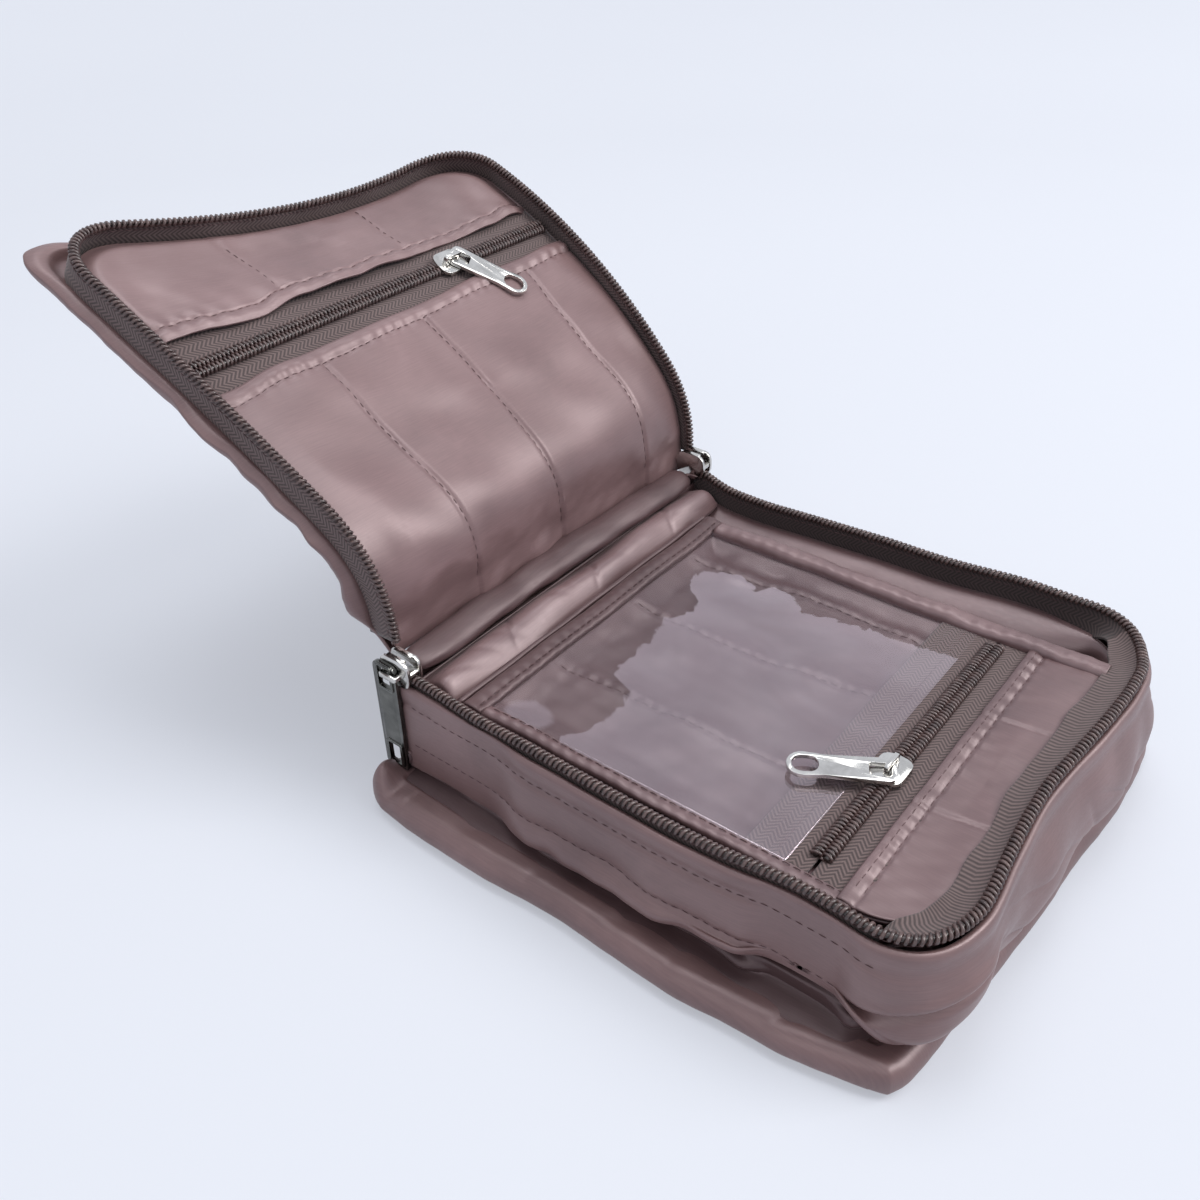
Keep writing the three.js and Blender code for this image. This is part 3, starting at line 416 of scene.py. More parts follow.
def vinyl_film(name):
    """Clear soft film with a painted reflection: its opacity is raised inside one wandering outline, where it mirrors
    the studio, and elsewhere it hardly shows.
    """
    mat, tree, shader = fresh(name)
    place = node(tree, "ShaderNodeTexCoord").outputs["Object"]
    parts = node(tree, "ShaderNodeSeparateXYZ", [(0, place)])
    x, y = (math_node(tree, "MULTIPLY", parts.outputs[i], 1000.0) for i in (0, 1))
    ripple = noise(tree, stretched(tree, place, (26.0, 34.0, 26.0)), 1.0, 2.0, 0.45, 1.4)
    wander = math_node(tree, "MULTIPLY_ADD", noise(tree, place, 130.0, 3.0, 0.55, 1.0), 7.0, -3.5)
    faint = noise(tree, stretched(tree, place, (45.0, 150.0, 60.0)), 1.0, 3.0, 0.6, 1.6, "RIDGED_MULTIFRACTAL")
    relief = node(tree, "ShaderNodeBump", [(2, ripple)], in_0=0.35, in_1=0.0016)
    left = math_node(tree, "SUBTRACT", math_node(tree, "ADD", x, wander), traced(tree, y, GLARE_LEFT))
    rear = math_node(tree, "SUBTRACT", traced(tree, x, GLARE_REAR), math_node(tree, "ADD", y, wander))
    main = node(tree, "ShaderNodeClamp", [(0, math_node(tree, "MULTIPLY", math_node(tree, "MINIMUM", left, rear), 1.6))])
    blob_x = math_node(tree, "MULTIPLY_ADD", x, 0.125, 44.0 * 0.125)
    blob_y = math_node(tree, "MULTIPLY_ADD", y, 0.17, 59.0 * 0.17)
    radius = math_node(tree, "ADD", math_node(tree, "MULTIPLY", blob_x, blob_x), math_node(tree, "MULTIPLY", blob_y, blob_y))
    blob = node(tree, "ShaderNodeClamp", [(0, math_node(tree, "MULTIPLY_ADD", math_node(tree, "MULTIPLY_ADD", wander, 0.1, radius), -2.4, 2.4))])
    # bright is the mask of the painted reflection: the traced outline and one round patch
    bright = math_node(tree, "MAXIMUM", main.outputs[0], math_node(tree, "MULTIPLY", blob.outputs[0], 0.75))
    gloss = node(tree, "ShaderNodeFresnel", in_0=1.62)
    tree.links.new(relief.outputs[0], gloss.inputs["Normal"])
    strength = math_node(tree, "MULTIPLY_ADD", bright, 3.1, 0.1)
    # Faint streaks of painted reflection inside the outline
    lines = math_node(tree, "MULTIPLY", math_node(tree, "GREATER_THAN", faint, 1.3), math_node(tree, "MULTIPLY", bright, 0.05))
    shown = math_node(tree, "ADD", math_node(tree, "MULTIPLY_ADD", gloss.outputs[0], strength, 0.02), lines)
    outside = math_node(tree, "SUBTRACT", 1.0, node(tree, "ShaderNodeNewGeometry").outputs["Backfacing"])
    total = node(tree, "ShaderNodeClamp", [(0, math_node(tree, "MULTIPLY", shown, outside))])
    tree.links.new(total.outputs[0], shader.inputs["Alpha"])
    tone = ramp(tree, ripple, [(0.3, linear((224, 208, 218))), (0.7, linear((250, 236, 244)))])
    tree.links.new(tone, shader.inputs["Base Color"])
    shader.inputs["Metallic"].default_value = 0.85
    shader.inputs["Roughness"].default_value = 0.05
    tree.links.new(relief.outputs[0], shader.inputs["Normal"])
    return mat


SATIN_OUT = satin("satin_out", (112, 87, 86), (126, 99, 98), (96, 73, 73), 0.44, 0.6, 0.7)
SATIN_IN = satin("satin_in", (118, 93, 93), (132, 106, 106), (103, 80, 80), 0.44, 0.6, 0.4)
# A dark copy of the satin with painted shade, for the recess under the wall, the spine's recess and lining, and the
# hinge roll
SATIN_DARK_PAINTED_SHADE = satin("satin_dark_painted_shade", (78, 59, 60), (92, 71, 72), (63, 47, 48), 0.44, 0.6, 0.6, 0.6)
# A lighter copy of the satin with painted light, for the lit inner fold and the page's rear binding
SATIN_PAINTED_LIGHT = satin("satin_painted_light", (108, 85, 86), (122, 98, 98), (92, 71, 72), 0.42, 0.6, 0.4)
TAPE = tape_cloth("zip_tape_weave", (88, 72, 71), (116, 98, 96), (54, 42, 42))
THREAD = satin("sewing_thread", (92, 72, 73), (106, 84, 85), (76, 59, 60), 0.7, 1.0, 0.0, 0.3)
THREAD_PALE = satin("sewing_thread_pale", (106, 85, 86), (120, 98, 99), (90, 71, 72), 0.7, 1.0, 0.0, 0.3)
# A darker copy of the inner satin with painted shade, for the page under the film
SATIN_PAGE_PAINTED_SHADE = satin("satin_page_painted_shade", (80, 61, 63), (93, 72, 74), (68, 51, 53), 0.42, 0.6, 0.4, 0.8)
# A darker copy of the inner satin with painted shade, for the page's end strip and front binding
SATIN_STRIP_PAINTED_SHADE = satin("satin_strip_painted_shade", (100, 78, 79), (114, 90, 91), (86, 66, 67), 0.44, 0.6, 0.4)
# A darker copy of the inner satin with painted shade, for the wall lining under the rim
SATIN_LINING_PAINTED_SHADE = satin("satin_lining_painted_shade", (100, 78, 79), (114, 90, 91), (84, 64, 65), 0.4, 0.6, 0.7)
# A darker copy of the zip tape with painted shade, for the tape along the back wall
TAPE_PAINTED_SHADE = tape_cloth("zip_tape_painted_shade", (58, 46, 46), (78, 64, 63), (36, 28, 28))
COIL = nylon("coil_nylon", (80, 61, 59), (106, 84, 80), (52, 38, 37))
CORE = nylon("coil_core", (50, 40, 38), (58, 47, 44), (38, 30, 28))
NICKEL = plated("nickel_plate", (214, 212, 208), (186, 184, 180), 0.16)
GUNMETAL = plated("dark_nickel_plate", (112, 112, 108), (78, 79, 76), 0.14)
FILM = vinyl_film("clear_film")
# A dark copy of the satin with painted shade, for the page's spine binding and seam cord in the valley by the hinge
BINDING_PAINTED_SHADE = satin("binding_satin", (78, 59, 60), (91, 70, 71), (64, 48, 49), 0.45, 1.0, 0.5, 0.6)


# Lid: a bent and slightly twisted surface. s runs from the hinge to the free end, y across, n out of the case.
HINGE = (-80.0, 44.4)
ROOT_LONG = 34.0
ROOT_ANGLE = 97.0
LID_ANGLE = 149.0
LID_DEPTH = 16.0
LID_LONG = 160.0
HALF = 70.0
CORNER = 22.0
LID_FRONT = (86.11, 148.28, 58.58, 0.04, 163.47, -81.59, 44.81)
LID_BACK = (90.29, 135.75, 46.71, 0.29, 156.06, -80.94, 41.88)
LID_SIDES = (2.95, -8.38, 1.96, 9.15)
LID_SAG = (-4.66, 1.27, -6.81, -2.36)


def lid_profile(start, end, bend, curl, long, x0, z0):
    s = np.linspace(-24, long + 30, 700)
    angle = np.radians(start + (end - start) * ease(s / bend) + curl * np.clip(s - bend, 0, None))
    step = s[1] - s[0]
    x = np.concatenate([[0], np.cumsum(np.cos((angle[1:] + angle[:-1]) / 2) * step)])
    z = np.concatenate([[0], np.cumsum(np.sin((angle[1:] + angle[:-1]) / 2) * step)])
    return s, x - np.interp(0, s, x) + x0, z - np.interp(0, s, z) + z0


LID_F, LID_B = lid_profile(*LID_FRONT), lid_profile(*LID_BACK)


def lid_middle(S, Y):
    S, Y = np.broadcast_arrays(np.asarray(S, float), np.asarray(Y, float))
    q, v = S / LID_LONG, Y / HALF
    w = (v + 1) / 2
    front, back = q * LID_FRONT[4], q * LID_BACK[4]
    x = (1 - w) * np.interp(front, LID_F[0], LID_F[1]) + w * np.interp(back, LID_B[0], LID_B[1])
    z = (1 - w) * np.interp(front, LID_F[0], LID_F[2]) + w * np.interp(back, LID_B[0], LID_B[2])
    y = (1 - w) * (-HALF + LID_SIDES[0] + LID_SIDES[1] * q) + w * (HALF + LID_SIDES[2] + LID_SIDES[3] * q)
    sag, end = 1 - v * v, np.clip(q, 0, None) ** 2
    x = x + end * sag * (LID_SAG[1] - 0.9 * LID_SAG[0])
    z = z + end * sag * (LID_SAG[2] + LID_SAG[3] * v + 0.43 * LID_SAG[0])
    return np.stack([x, y, z], -1)


def lid_normal(S, Y):
    along = lid_middle(S + 0.8, Y) - lid_middle(S - 0.8, Y)
    across = lid_middle(S, Y + 0.8) - lid_middle(S, Y - 0.8)
    return unit(np.cross(along, across))


def lid_at(S, Y, N):
    return lid_middle(S, Y) + lid_normal(S, Y) * np.asarray(N, float)[..., None]


def on_lid(obj):
    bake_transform(obj)
    return obj


# Line of the pocket zip: the straight line of the part's own zip, found again on the bent lid
POCKET_ALONG = 73.5
POCKET_LEVEL = 6.8
POCKET_BAND = 9.7


def pocket_table():
    root, lid = math.radians(ROOT_ANGLE), math.radians(LID_ANGLE)
    fold = np.array([HINGE[0] + ROOT_LONG * math.cos(root), HINGE[1] + ROOT_LONG * math.sin(root)])
    along = np.array([math.cos(lid), math.sin(lid)])
    out = np.array([-math.sin(lid), math.cos(lid)])
    aim = fold + POCKET_ALONG * along + POCKET_LEVEL * out
    y = np.linspace(-78, 78, 60)
    s, n = np.full(60, 107.0), np.full(60, POCKET_LEVEL)
    for _ in range(12):
        off = aim - lid_at(s, y, n)[:, (0, 2)]
        s, n = s + off @ along, n + off @ out
    return y, s, n


POCKET_Y, POCKET_S, POCKET_N = pocket_table()


def pocket_s(Y):
    return np.interp(Y, POCKET_Y, POCKET_S)


def pocket_shift(S, Y):
    """How far the cloth near the pocket zip moves out so that it meets the straight zip."""
    return (np.interp(Y, POCKET_Y, POCKET_N) - POCKET_LEVEL) * np.exp(-((S - pocket_s(Y)) / 32) ** 2)


# The zip line of the lid as a path from the hinge along the front, round the end and back
def rim_path(start, end, half, corner, step):
    leg = end - corner - start
    arc = math.pi / 2 * corner
    across = 2 * (half - corner)
    total = 2 * leg + 2 * arc + across
    t = np.linspace(0, total, int(total / step) + 1)

    def at(t):
        t = np.asarray(t, float)
        m = np.minimum(t, total - t)
        side = np.where(t > total / 2, -1.0, 1.0)
        turn = np.clip((m - leg) / corner, 0, math.pi / 2)
        past = np.clip(m - leg - arc, 0, None)
        x = np.where(m <= leg, start + m, end - corner + corner * np.sin(turn))
        y = np.where(m <= leg, -half, -half + corner - corner * np.cos(turn) + past)
        return x, side * y, np.where(m <= leg, 0, np.sin(turn)), side * np.where(m <= leg, -1, -np.cos(turn))

    return t, at, total


def coil_on(skin, place, start, end, half, corner, middle, tall, wide, pitch=1.5, wire=0.5, mat=0, core=1):
    """A nylon coil round a rim. place(x, y, out, height) gives points in space."""
    _, at, total = rim_path(start, end, half, corner, 1.0)
    turns = int(total / pitch)
    t = np.linspace(0, total, turns * 9)
    phase = 2 * math.pi * np.arange(len(t)) / 9
    x, y, nx, ny = at(t)
    out = (wide / 2 - wire) * np.cos(phase)
    high = middle + (tall / 2 - wire) * np.sin(phase)
    skin.tube(place(x + nx * out, y + ny * out, high), wire, mat, sides=5)
    t = np.linspace(0, total, int(total / 2))
    x, y, nx, ny = at(t)
    skin.tube(place(x, y, np.full(len(t), middle)), (tall / 2 - 2 * wire) * 1.25, core, sides=6)


# Rounded sheet of the lid, from s0 to s1, with corners of the given radius at s1
def lid_grid(s0, s1, half, corner, nu, nv, both=False):
    s = s0 + (s1 - s0) * np.linspace(0, 1, nu)
    if corner > 0:
        flat = np.linspace(s0, s1 - corner, nu - 14)
        s = np.concatenate([flat, s1 - corner + corner * np.sin(np.linspace(0, math.pi / 2, 15))[1:]])
    into = np.clip(s - (s1 - corner), 0, corner)
    width = half - corner + np.sqrt(np.clip(corner ** 2 - into ** 2, 0, None)) if corner > 0 else np.full(len(s), half)
    v = np.sin(np.linspace(-1, 1, nv) * math.pi / 2 * 0.8) / math.sin(math.pi / 2 * 0.8)
    S = np.broadcast_to(s[:, None], (len(s), nv))
    Y = width[:, None] * v[None, :]
    return S, Y


def inside_distance(S, Y, s0, s1, half, corner, near=True):
    """How far each point lies inside the rounded outline."""
    qx = np.abs(S - (s0 + s1) / 2) - ((s1 - s0) / 2 - corner)
    qy = np.abs(Y) - (half - corner)
    rounded = corner - np.hypot(np.clip(qx, 0, None), np.clip(qy, 0, None)) - np.minimum(np.maximum(qx, qy), 0)
    straight = np.minimum((s1 - s0) / 2 - np.abs(S - (s0 + s1) / 2), half - np.abs(Y))
    d = np.where(S > (s0 + s1) / 2, np.minimum(rounded, straight), straight)
    return d if near else np.where(S > (s0 + s1) / 2, d, np.minimum(d, half - np.abs(Y)))


TUCKS = ((-35.0, 0.9), (3.0, 1.1), (47.0, 0.9))


def tuck_lines(Y, S, tucks, seed):
    """Relief of the sewn tucks: a small step with a groove beside it, and slack cloth between."""
    relief = np.zeros(np.broadcast(Y, S).shape)
    for k, (place, high) in enumerate(tucks):
        d = Y - place - 0.5 * waves(S, 0 * Y, 60, seed + k, 1)
        relief += high * 0.45 * np.where(d > 0, np.exp(-d / 5.0), 0) * ease((d + 0.2) / 0.4)
        relief -= high * 0.65 * np.exp(-(d / 0.7) ** 2)
    return relief


# Lid cover: the padded outside with its rolled edge
def build_lid_cover():
    s0, s1, half, corner = -3.0, LID_LONG + 4.5, HALF + 4.5, 15.0
    S, Y = lid_grid(s0, s1, half, corner, 130, 84)
    d = inside_distance(S, Y, s0, s1, half, corner)
    tuck = ease((16 - S) / 17)
    Y = Y * (1 - 0.058 * tuck)
    d_free = inside_distance(S, Y, s0 - 60, s1, half, corner)
    roll = 6.2
    edge = 1 - np.clip(d_free / roll, 0, 1)
    puff = 0.9 * waves(S, Y, 62, 3) + 0.7 * waves(S, Y, 27, 4)
    crumple = creases(S, Y, 46, 5, 7.0)
    outer = LID_DEPTH - 0.4 - 4.3 * (1 - np.sqrt(np.clip(1 - edge ** 2, 0, 1))) + puff * 0.45 - 0.4 * crumple * ease(d_free / 5)
    inner = 9.7 + 1.0 * edge * edge + ease((d_free - 4.2) / 1.6) * 2.6
    inner = inner - 0.7 * np.exp(-((d_free - 2.4) / 1.5) ** 2)
    outer = outer - 7.5 * tuck ** 1.5 + 1.3 * bump(S, 15, 11) * ease((np.abs(Y) - 50) / 20)
    inner = inner - 6.6 * ease((8 - S) / 11)
    near = ease((S - s0) / 5.0)
    outer = inner + np.maximum(outer - inner, 0.6) * (0.3 + 0.7 * near)
    wave_edge = edge ** 2 * (0.7 * waves(S, Y, 34, 6) + 0.35 * waves(S, Y, 13, 7))
    P = lid_middle(S, Y)
    N = lid_normal(S, Y)
    away = lid_middle(S, Y * 1.01) - lid_middle(S, Y)
    P = P + unit(away) * wave_edge[..., None]
    skin = Skin()
    skin.layers(P, N, outer, inner, uv=np.stack([Y, S], -1))
    cover = skin.build("lid_outer_cover", [SATIN_OUT])
    smooth_more(cover)
    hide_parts("lid_root_cover", "lid_cover", "lid_board", "lid_foam", "lid_root_foam")
    on_lid(cover)


def smooth_more(obj, levels=1):
    """One subdivision, applied, so that the folds are round."""
    mod = obj.modifiers.new("round", "SUBSURF")
    mod.levels = levels
    mod.render_levels = levels
    mod.boundary_smooth = "PRESERVE_CORNERS"
    graph = bpy.context.evaluated_depsgraph_get()
    mesh = bpy.data.meshes.new_from_object(obj.evaluated_get(graph), preserve_all_data_layers=True, depsgraph=graph)
    obj.modifiers.clear()
    old = obj.data
    obj.data = mesh
    bpy.data.meshes.remove(old)


def panel_edges(d, thick):
    """Thickness that rounds off at the edge of a folded sheet."""
    t = np.clip(d / (thick * 0.6), 0, 1)
    return 0.25 + 0.75 * np.sqrt(np.clip(1 - (1 - t) ** 2, 0, 1))


# Satin face of the lid below the pocket zip, from the hinge over the bulge to its folded top band
def build_lower_panel():
    s0, half = -1.5, HALF - 0.9
    nu, nv = 150, 200
    s = np.linspace(0, 1, nu)
    Yl = np.linspace(-half, half, nv)
    S, Y = np.meshgrid(s, Yl, indexing="ij")
    top = pocket_s(Yl) - POCKET_BAND + 0.55 * waves(Yl, 0 * Yl, 40, 21, 2)
    S = s0 + S * (top[None, :] - s0)
    from_top = top[None, :] - S
    side = half - np.abs(Y)
    bulge = 2.9 * bump(S, 27, 34) * ease(side / 16)
    slack = 0.55 * waves(S, Y, 58, 22) * ease(side / 10) + 0.3 * waves(S, Y, 22, 23) * ease((26 - S) / 20)
    relief = tuck_lines(Y, S, TUCKS, 24) * ease((from_top - 4.6) / 1.5)
    band = 0.75 * np.exp(-((from_top - 2.6) / 1.9) ** 2) - 0.5 * np.exp(-((from_top - 5.2) / 0.55) ** 2)
    pucker = 0.22 * np.sin(2 * math.pi * (Y + 2 * waves(Y, 0 * Y, 30, 25, 1)) / 5.2) * np.exp(-((from_top - 4.2) / 2.6) ** 2)
    valley = 1.6 * ease((9 - S) / 9)
    n = 5.5 - bulge - slack - relief - band - pucker - valley + pocket_shift(S, Y)
    thick = 1.15 * panel_edges(np.minimum(from_top, side), 1.15)
    skin = Skin()
    P, N = lid_at(S, Y, n), lid_normal(S, Y)
    skin.layers(P, N, thick, 0.0 * thick, uv=np.stack([Y, S], -1))
    for place, _ in TUCKS:
        u = np.linspace(7, float(np.interp(place, Yl, top)) - 6, 90)
        off = 0.5 * waves(u, 0 * u, 60, 24 + TUCKS.index((place, _)), 1)
        y = place + off - 0.1
        depth = interp_grid(n, S, Y, u, y)
        skin.stitches(lid_at(u, y, depth), -lid_normal(u, y), 1, pitch=2.9, length=2.0, radius=0.11, lift=0.05)
    y = np.linspace(-half + 3, half - 3, 120)
    u = np.interp(y, Yl, top) - 5.2
    depth = interp_grid(n, S, Y, u, y)
    skin.stitches(lid_at(u, y, depth), -lid_normal(u, y), 1, pitch=2.7, length=1.9, radius=0.12, lift=0.05)
    panel = skin.build("lid_lower_panel", [SATIN_IN, THREAD])
    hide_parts("lid_root_lining", "lid_panel_lower")
    on_lid(panel)


def interp_grid(values, S, Y, s, y):
    """Values of a grid at points, where Y runs along its second side and S nearly along its first."""
    column = np.interp(y, Y[0], np.arange(Y.shape[1]))
    j = np.clip(column.astype(int), 0, Y.shape[1] - 2)
    share = column - j
    out = np.empty(len(s))
    for k in range(len(s)):
        a = np.interp(s[k], S[:, j[k]], values[:, j[k]])
        b = np.interp(s[k], S[:, j[k] + 1], values[:, j[k] + 1])
        out[k] = a + (b - a) * share[k]
    return out


# Satin face above the pocket zip, with its wavy folded edge
def build_upper_panel():
    s1, half, corner = LID_LONG - 0.8, HALF - 0.8, CORNER - 0.8
    s0 = 117.0
    S, Y = lid_grid(s0, s1, half, corner, 84, 190)
    share = (S - s0) / (s1 - s0)

    def fold_line(y):
        return pocket_s(y) + POCKET_BAND + 1.3 * waves(y, 0 * y, 44, 31, 2) + 0.35 * waves(y, 0 * y, 15, 32, 1)

    S = S + (fold_line(Y) - s0) * (1 - share) ** 2
    from_fold = S - fold_line(Y)
    d = inside_distance(S, Y, 60, s1, half, corner)
    slack = 0.75 * waves(S, Y, 70, 33) * ease(d / 12) + 0.25 * waves(S, Y, 24, 34) * ease(d / 8)
    relief = tuck_lines(Y, S, ((-26.0, 0.5), (20.0, 0.5)), 35) * ease((from_fold - 5) / 1.5)
    band = 0.8 * np.exp(-((from_fold - 2.4) / 1.9) ** 2) - 0.5 * np.exp(-((from_fold - 5.0) / 0.55) ** 2)
    pucker = 0.3 * np.sin(2 * math.pi * (Y + 3 * waves(Y, 0 * Y, 34, 36, 1)) / 6.4) * np.exp(-((from_fold - 4.4) / 2.8) ** 2)
    tuck_in = 2.2 * ease((5 - d) / 5)
    n = 5.6 - slack - relief - band - pucker + tuck_in + pocket_shift(S, Y)
    thick = 1.15 * panel_edges(np.minimum(from_fold, d), 1.15)
    skin = Skin()
    skin.layers(lid_at(S, Y, n), lid_normal(S, Y), thick, 0.0 * thick, uv=np.stack([Y, S], -1))
    y = np.linspace(-half + 3, half - 3, 120)
    u = fold_line(y) + 5.0
    depth = interp_grid(n, S, Y, u, y)
    skin.stitches(lid_at(u, y, depth), -lid_normal(u, y), 1, pitch=2.7, length=1.9, radius=0.12, lift=0.05)
    for place, length in ((-26.0, 150), (20.0, 154)):
        v = np.linspace(float(fold_line(np.array([place]))[0]) + 7, length, 40)
        yy = np.full(40, place)
        depth = interp_grid(n, S, Y, v, yy)
        skin.stitches(lid_at(v, yy, depth), -lid_normal(v, yy), 1, pitch=3.0, length=1.8, radius=0.11, lift=0.04)
    panel = skin.build("lid_upper_panel", [SATIN_IN, THREAD])
    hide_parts("lid_panel_upper")
    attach(panel, "lid")


def build_pocket_back():
    S, Y = lid_grid(64, LID_LONG - 0.9, HALF - 0.9, CORNER - 0.9, 60, 50)
    d = inside_distance(S, Y, 0, LID_LONG - 0.9, HALF - 0.9, CORNER - 0.9)
    n = 9.7 - 0.5 * (1 + waves(S, Y, 40, 41)) * ease(d / 8) + 1.4 * np.exp(-((S - pocket_s(Y)) / 9) ** 2)
    skin = Skin()
    skin.layers(lid_at(S, Y, n), lid_normal(S, Y), 0.5, 0.0, uv=np.stack([Y, S], -1))
    back = skin.build("lid_pocket_lining", [SATIN_IN])
    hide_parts("lid_pocket_back")
    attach(back, "lid")


# Zip of the lid pocket
def pocket_level(Y):
    return np.interp(Y, POCKET_Y, POCKET_N)


def build_pocket_zip():
    half = HALF - 0.9
    y = np.linspace(-half, half, 160)
    for side, name, node_name in ((-1, "lid_pocket_weave_lower", "lid_pocket_tape_lower"), (1, "lid_pocket_weave_upper", "lid_pocket_tape_upper")):
        c = np.linspace(0, 1, 22)
        Y, C = np.meshgrid(y, c, indexing="ij")
        S = pocket_s(Y) + side * (0.5 + C * 13.2)
        n = pocket_level(Y) + 0.35 * waves(S, Y, 26, 51) * C + 0.45 * C * C
        skin = Skin()
        P, N = lid_at(S, Y, n), lid_normal(S, Y)
        skin.layers(P, N, 0.5, 0.0, uv=np.stack([Y, C * 13.2], -1))
        tape = skin.build(name, [TAPE])
        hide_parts(node_name)
        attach(tape, "lid")
    for side, name, node_name in ((-1, "lid_pocket_turns_lower", "lid_pocket_coil_lower"), (1, "lid_pocket_turns_upper", "lid_pocket_coil_upper")):
        skin = Skin()
        flat_coil(skin, -half + 1, half - 1, side, lambda Y, across, up: lid_at(pocket_s(Y) + across, Y, pocket_level(Y) - 0.15 - up))
        coil = skin.build(name, [COIL, CORE])
        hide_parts(node_name)
        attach(coil, "lid")


def flat_coil(skin, y0, y1, side, place, pitch=1.25):
    """One row of a closed coil zip, seen from its coil side: turns that lean over and meet at the middle."""
    turns = int((y1 - y0) / pitch)
    y = np.linspace(y0, y1, turns * 9)
    phase = 2 * math.pi * np.arange(len(y)) / 9 + (math.pi if side > 0 else 0)
    across = side * (1.3 + 1.25 * np.cos(phase))
    up = 0.75 + 0.75 * np.sin(phase)
    skin.tube(place(y, across, up), 0.45, 0, sides=5)
    line = np.linspace(y0, y1, 60)
    skin.tube(place(line, np.full(60, side * 1.45), np.full(60, 0.75)), 0.8, 1, sides=6)


# Zip round the lid's rim
def build_lid_zip():
    _, at, total = rim_path(4.5, LID_LONG, HALF, CORNER, 1.0)
    t = np.linspace(0, total, 300)
    x, y, nx, ny = at(t)
    c = np.linspace(0, 1, 14)
    n = 1.4 + c * 9.4
    lean = 0.5 * np.sin(c * math.pi) + 0.9 * c ** 3
    wobble = 0.35 * waves(t, 0 * t, 42, 61, 2)
    out = lean[None, :] + wobble[:, None] * np.sin(c * math.pi)[None, :]
    X = x[:, None] + nx[:, None] * out
    Y = y[:, None] + ny[:, None] * out
    P = lid_at(X, Y, np.broadcast_to(n, X.shape))
    skin = Skin()
    skin.layers(P, grid_normals(P), 0.35, -0.35, uv=np.stack(np.broadcast_arrays(t[:, None], n[None, :]), -1))
    m = np.linspace(2, total - 2, 260)
    xs, ys, mx, my = at(m)
    for side in (-1, 1):
        for level in (3.9,):
            row = lid_at(xs + mx * (0.45 * side + 0.2), ys + my * (0.45 * side + 0.2), np.full(len(m), level))
            towards = lid_at(xs + mx * side, ys + my * side, np.full(len(m), level)) - lid_at(xs, ys, np.full(len(m), level))
            skin.stitches(row, unit(towards), 1, pitch=2.4, length=1.8, radius=0.13, lift=0.06)
    tape = skin.build("lid_rim_tape", [TAPE, THREAD])
    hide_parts("lid_root_tape_front", "lid_root_tape_back", "lid_zip_tape")
    on_lid(tape)
    skin = Skin()
    coil_on(skin, lid_at, 4.5, LID_LONG, HALF, CORNER, 1.95, 2.6, 2.9)
    coil = skin.build("lid_rim_coil", [COIL, CORE])
    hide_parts("lid_root_coil_front", "lid_root_coil_back", "lid_zip_coil")
    on_lid(coil)


build_lid_cover()
build_lower_panel()
build_upper_panel()
build_pocket_back()
build_pocket_zip()
build_lid_zip()


# Base: the zip line round the open top, as a path along the walls
BASE_T, BASE_AT, BASE_LONG = rim_path(1.3, LID_LONG, HALF, CORNER, 1.0)
CORNER_AT = (LID_LONG - CORNER - 1.3) + math.pi / 4 * CORNER


def corner_share(t, width=26.0):
    """1 at the free front corner and also 1 at the back one, falling to 0 away from them."""
    front = np.exp(-((t - CORNER_AT) / width) ** 2)
    back = np.exp(-((t - (BASE_LONG - CORNER_AT)) / width) ** 2)
    return front, back


# How far the rim and the foot of the wall stand outside the stiff shape's path, and how far the rim sags, by place along it
RIM_OUT = ((0, -0.4), (14, 0.2), (28, 1.6), (60, 1.9), (104, 1.7), (114, 0.9), (120, 0.3), (134, 0.4), (143, 1.6), (150, 1.5), (156, 0.2), (164, -1.5), (175, -2.2), (186, -3.4),
           (198, -4.4), (213, -4.7), (229, -2.9), (246, -1.2), (260, -0.6), (278, -1.6), (288, 0.2), (296, 1.2), (304, 0.4), (322, 0.0), (334, -1.2),
           (346, -1.8), (364, -1.9), (385, -2.8), (408, -3.3), (424, -2.6), (434, -0.6), (439, 0))
RIM_SAG = ((0, 0), (20, 0.4), (104, 0.4), (118, 0.1), (136, 0.1), (150, 0.7), (180, 0.3), (300, 0.0), (324, 0.0), (343, 0.6), (364, 0.6), (385, 1.4), (408, 2.6), (424, 2.6), (434, 0.8), (439, 0))
LIP_RISE = ((0, -1.0), (40, -0.6), (60, 0.2), (80, 1.4), (100, 2.8), (119, 4.6), (133, 6.0), (160, 6.0), (439, 2.0))
FOOT_OUT = ((0, -0.5), (12, 0.3), (28, 2.8), (112, 2.8), (140, 2.4), (146, 1.6), (152, 0.2), (161, -1.4), (171, -2.9), (199, -0.9), (230, 0.8), (257, 2.4), (288, 0), (439, 0))


def knots(table, t):
    """A smooth curve through a table of places along the rim."""
    at, value = np.array(table, float).T
    t = np.asarray(t, float)
    return sum(np.interp(t + step, at, value) * share for step, share in ((-5, 0.15), (-2.5, 0.2), (0, 0.3), (2.5, 0.2), (5, 0.15)))


def base_at(t, out, z):
    t, out, z = np.broadcast_arrays(np.asarray(t, float), np.asarray(out, float), np.asarray(z, float))
    x, y, nx, ny = BASE_AT(t)
    high = ease((z - 9) / 30)
    out = out + high * knots(RIM_OUT, t) + (1 - high) * knots(FOOT_OUT, t)
    drop = (knots(RIM_SAG, t) + 0.4 * waves(t, 0 * t, 75, 71, 2)) * high
    return np.stack([HINGE[0] + x + nx * out, y + ny * out, z - drop], -1)


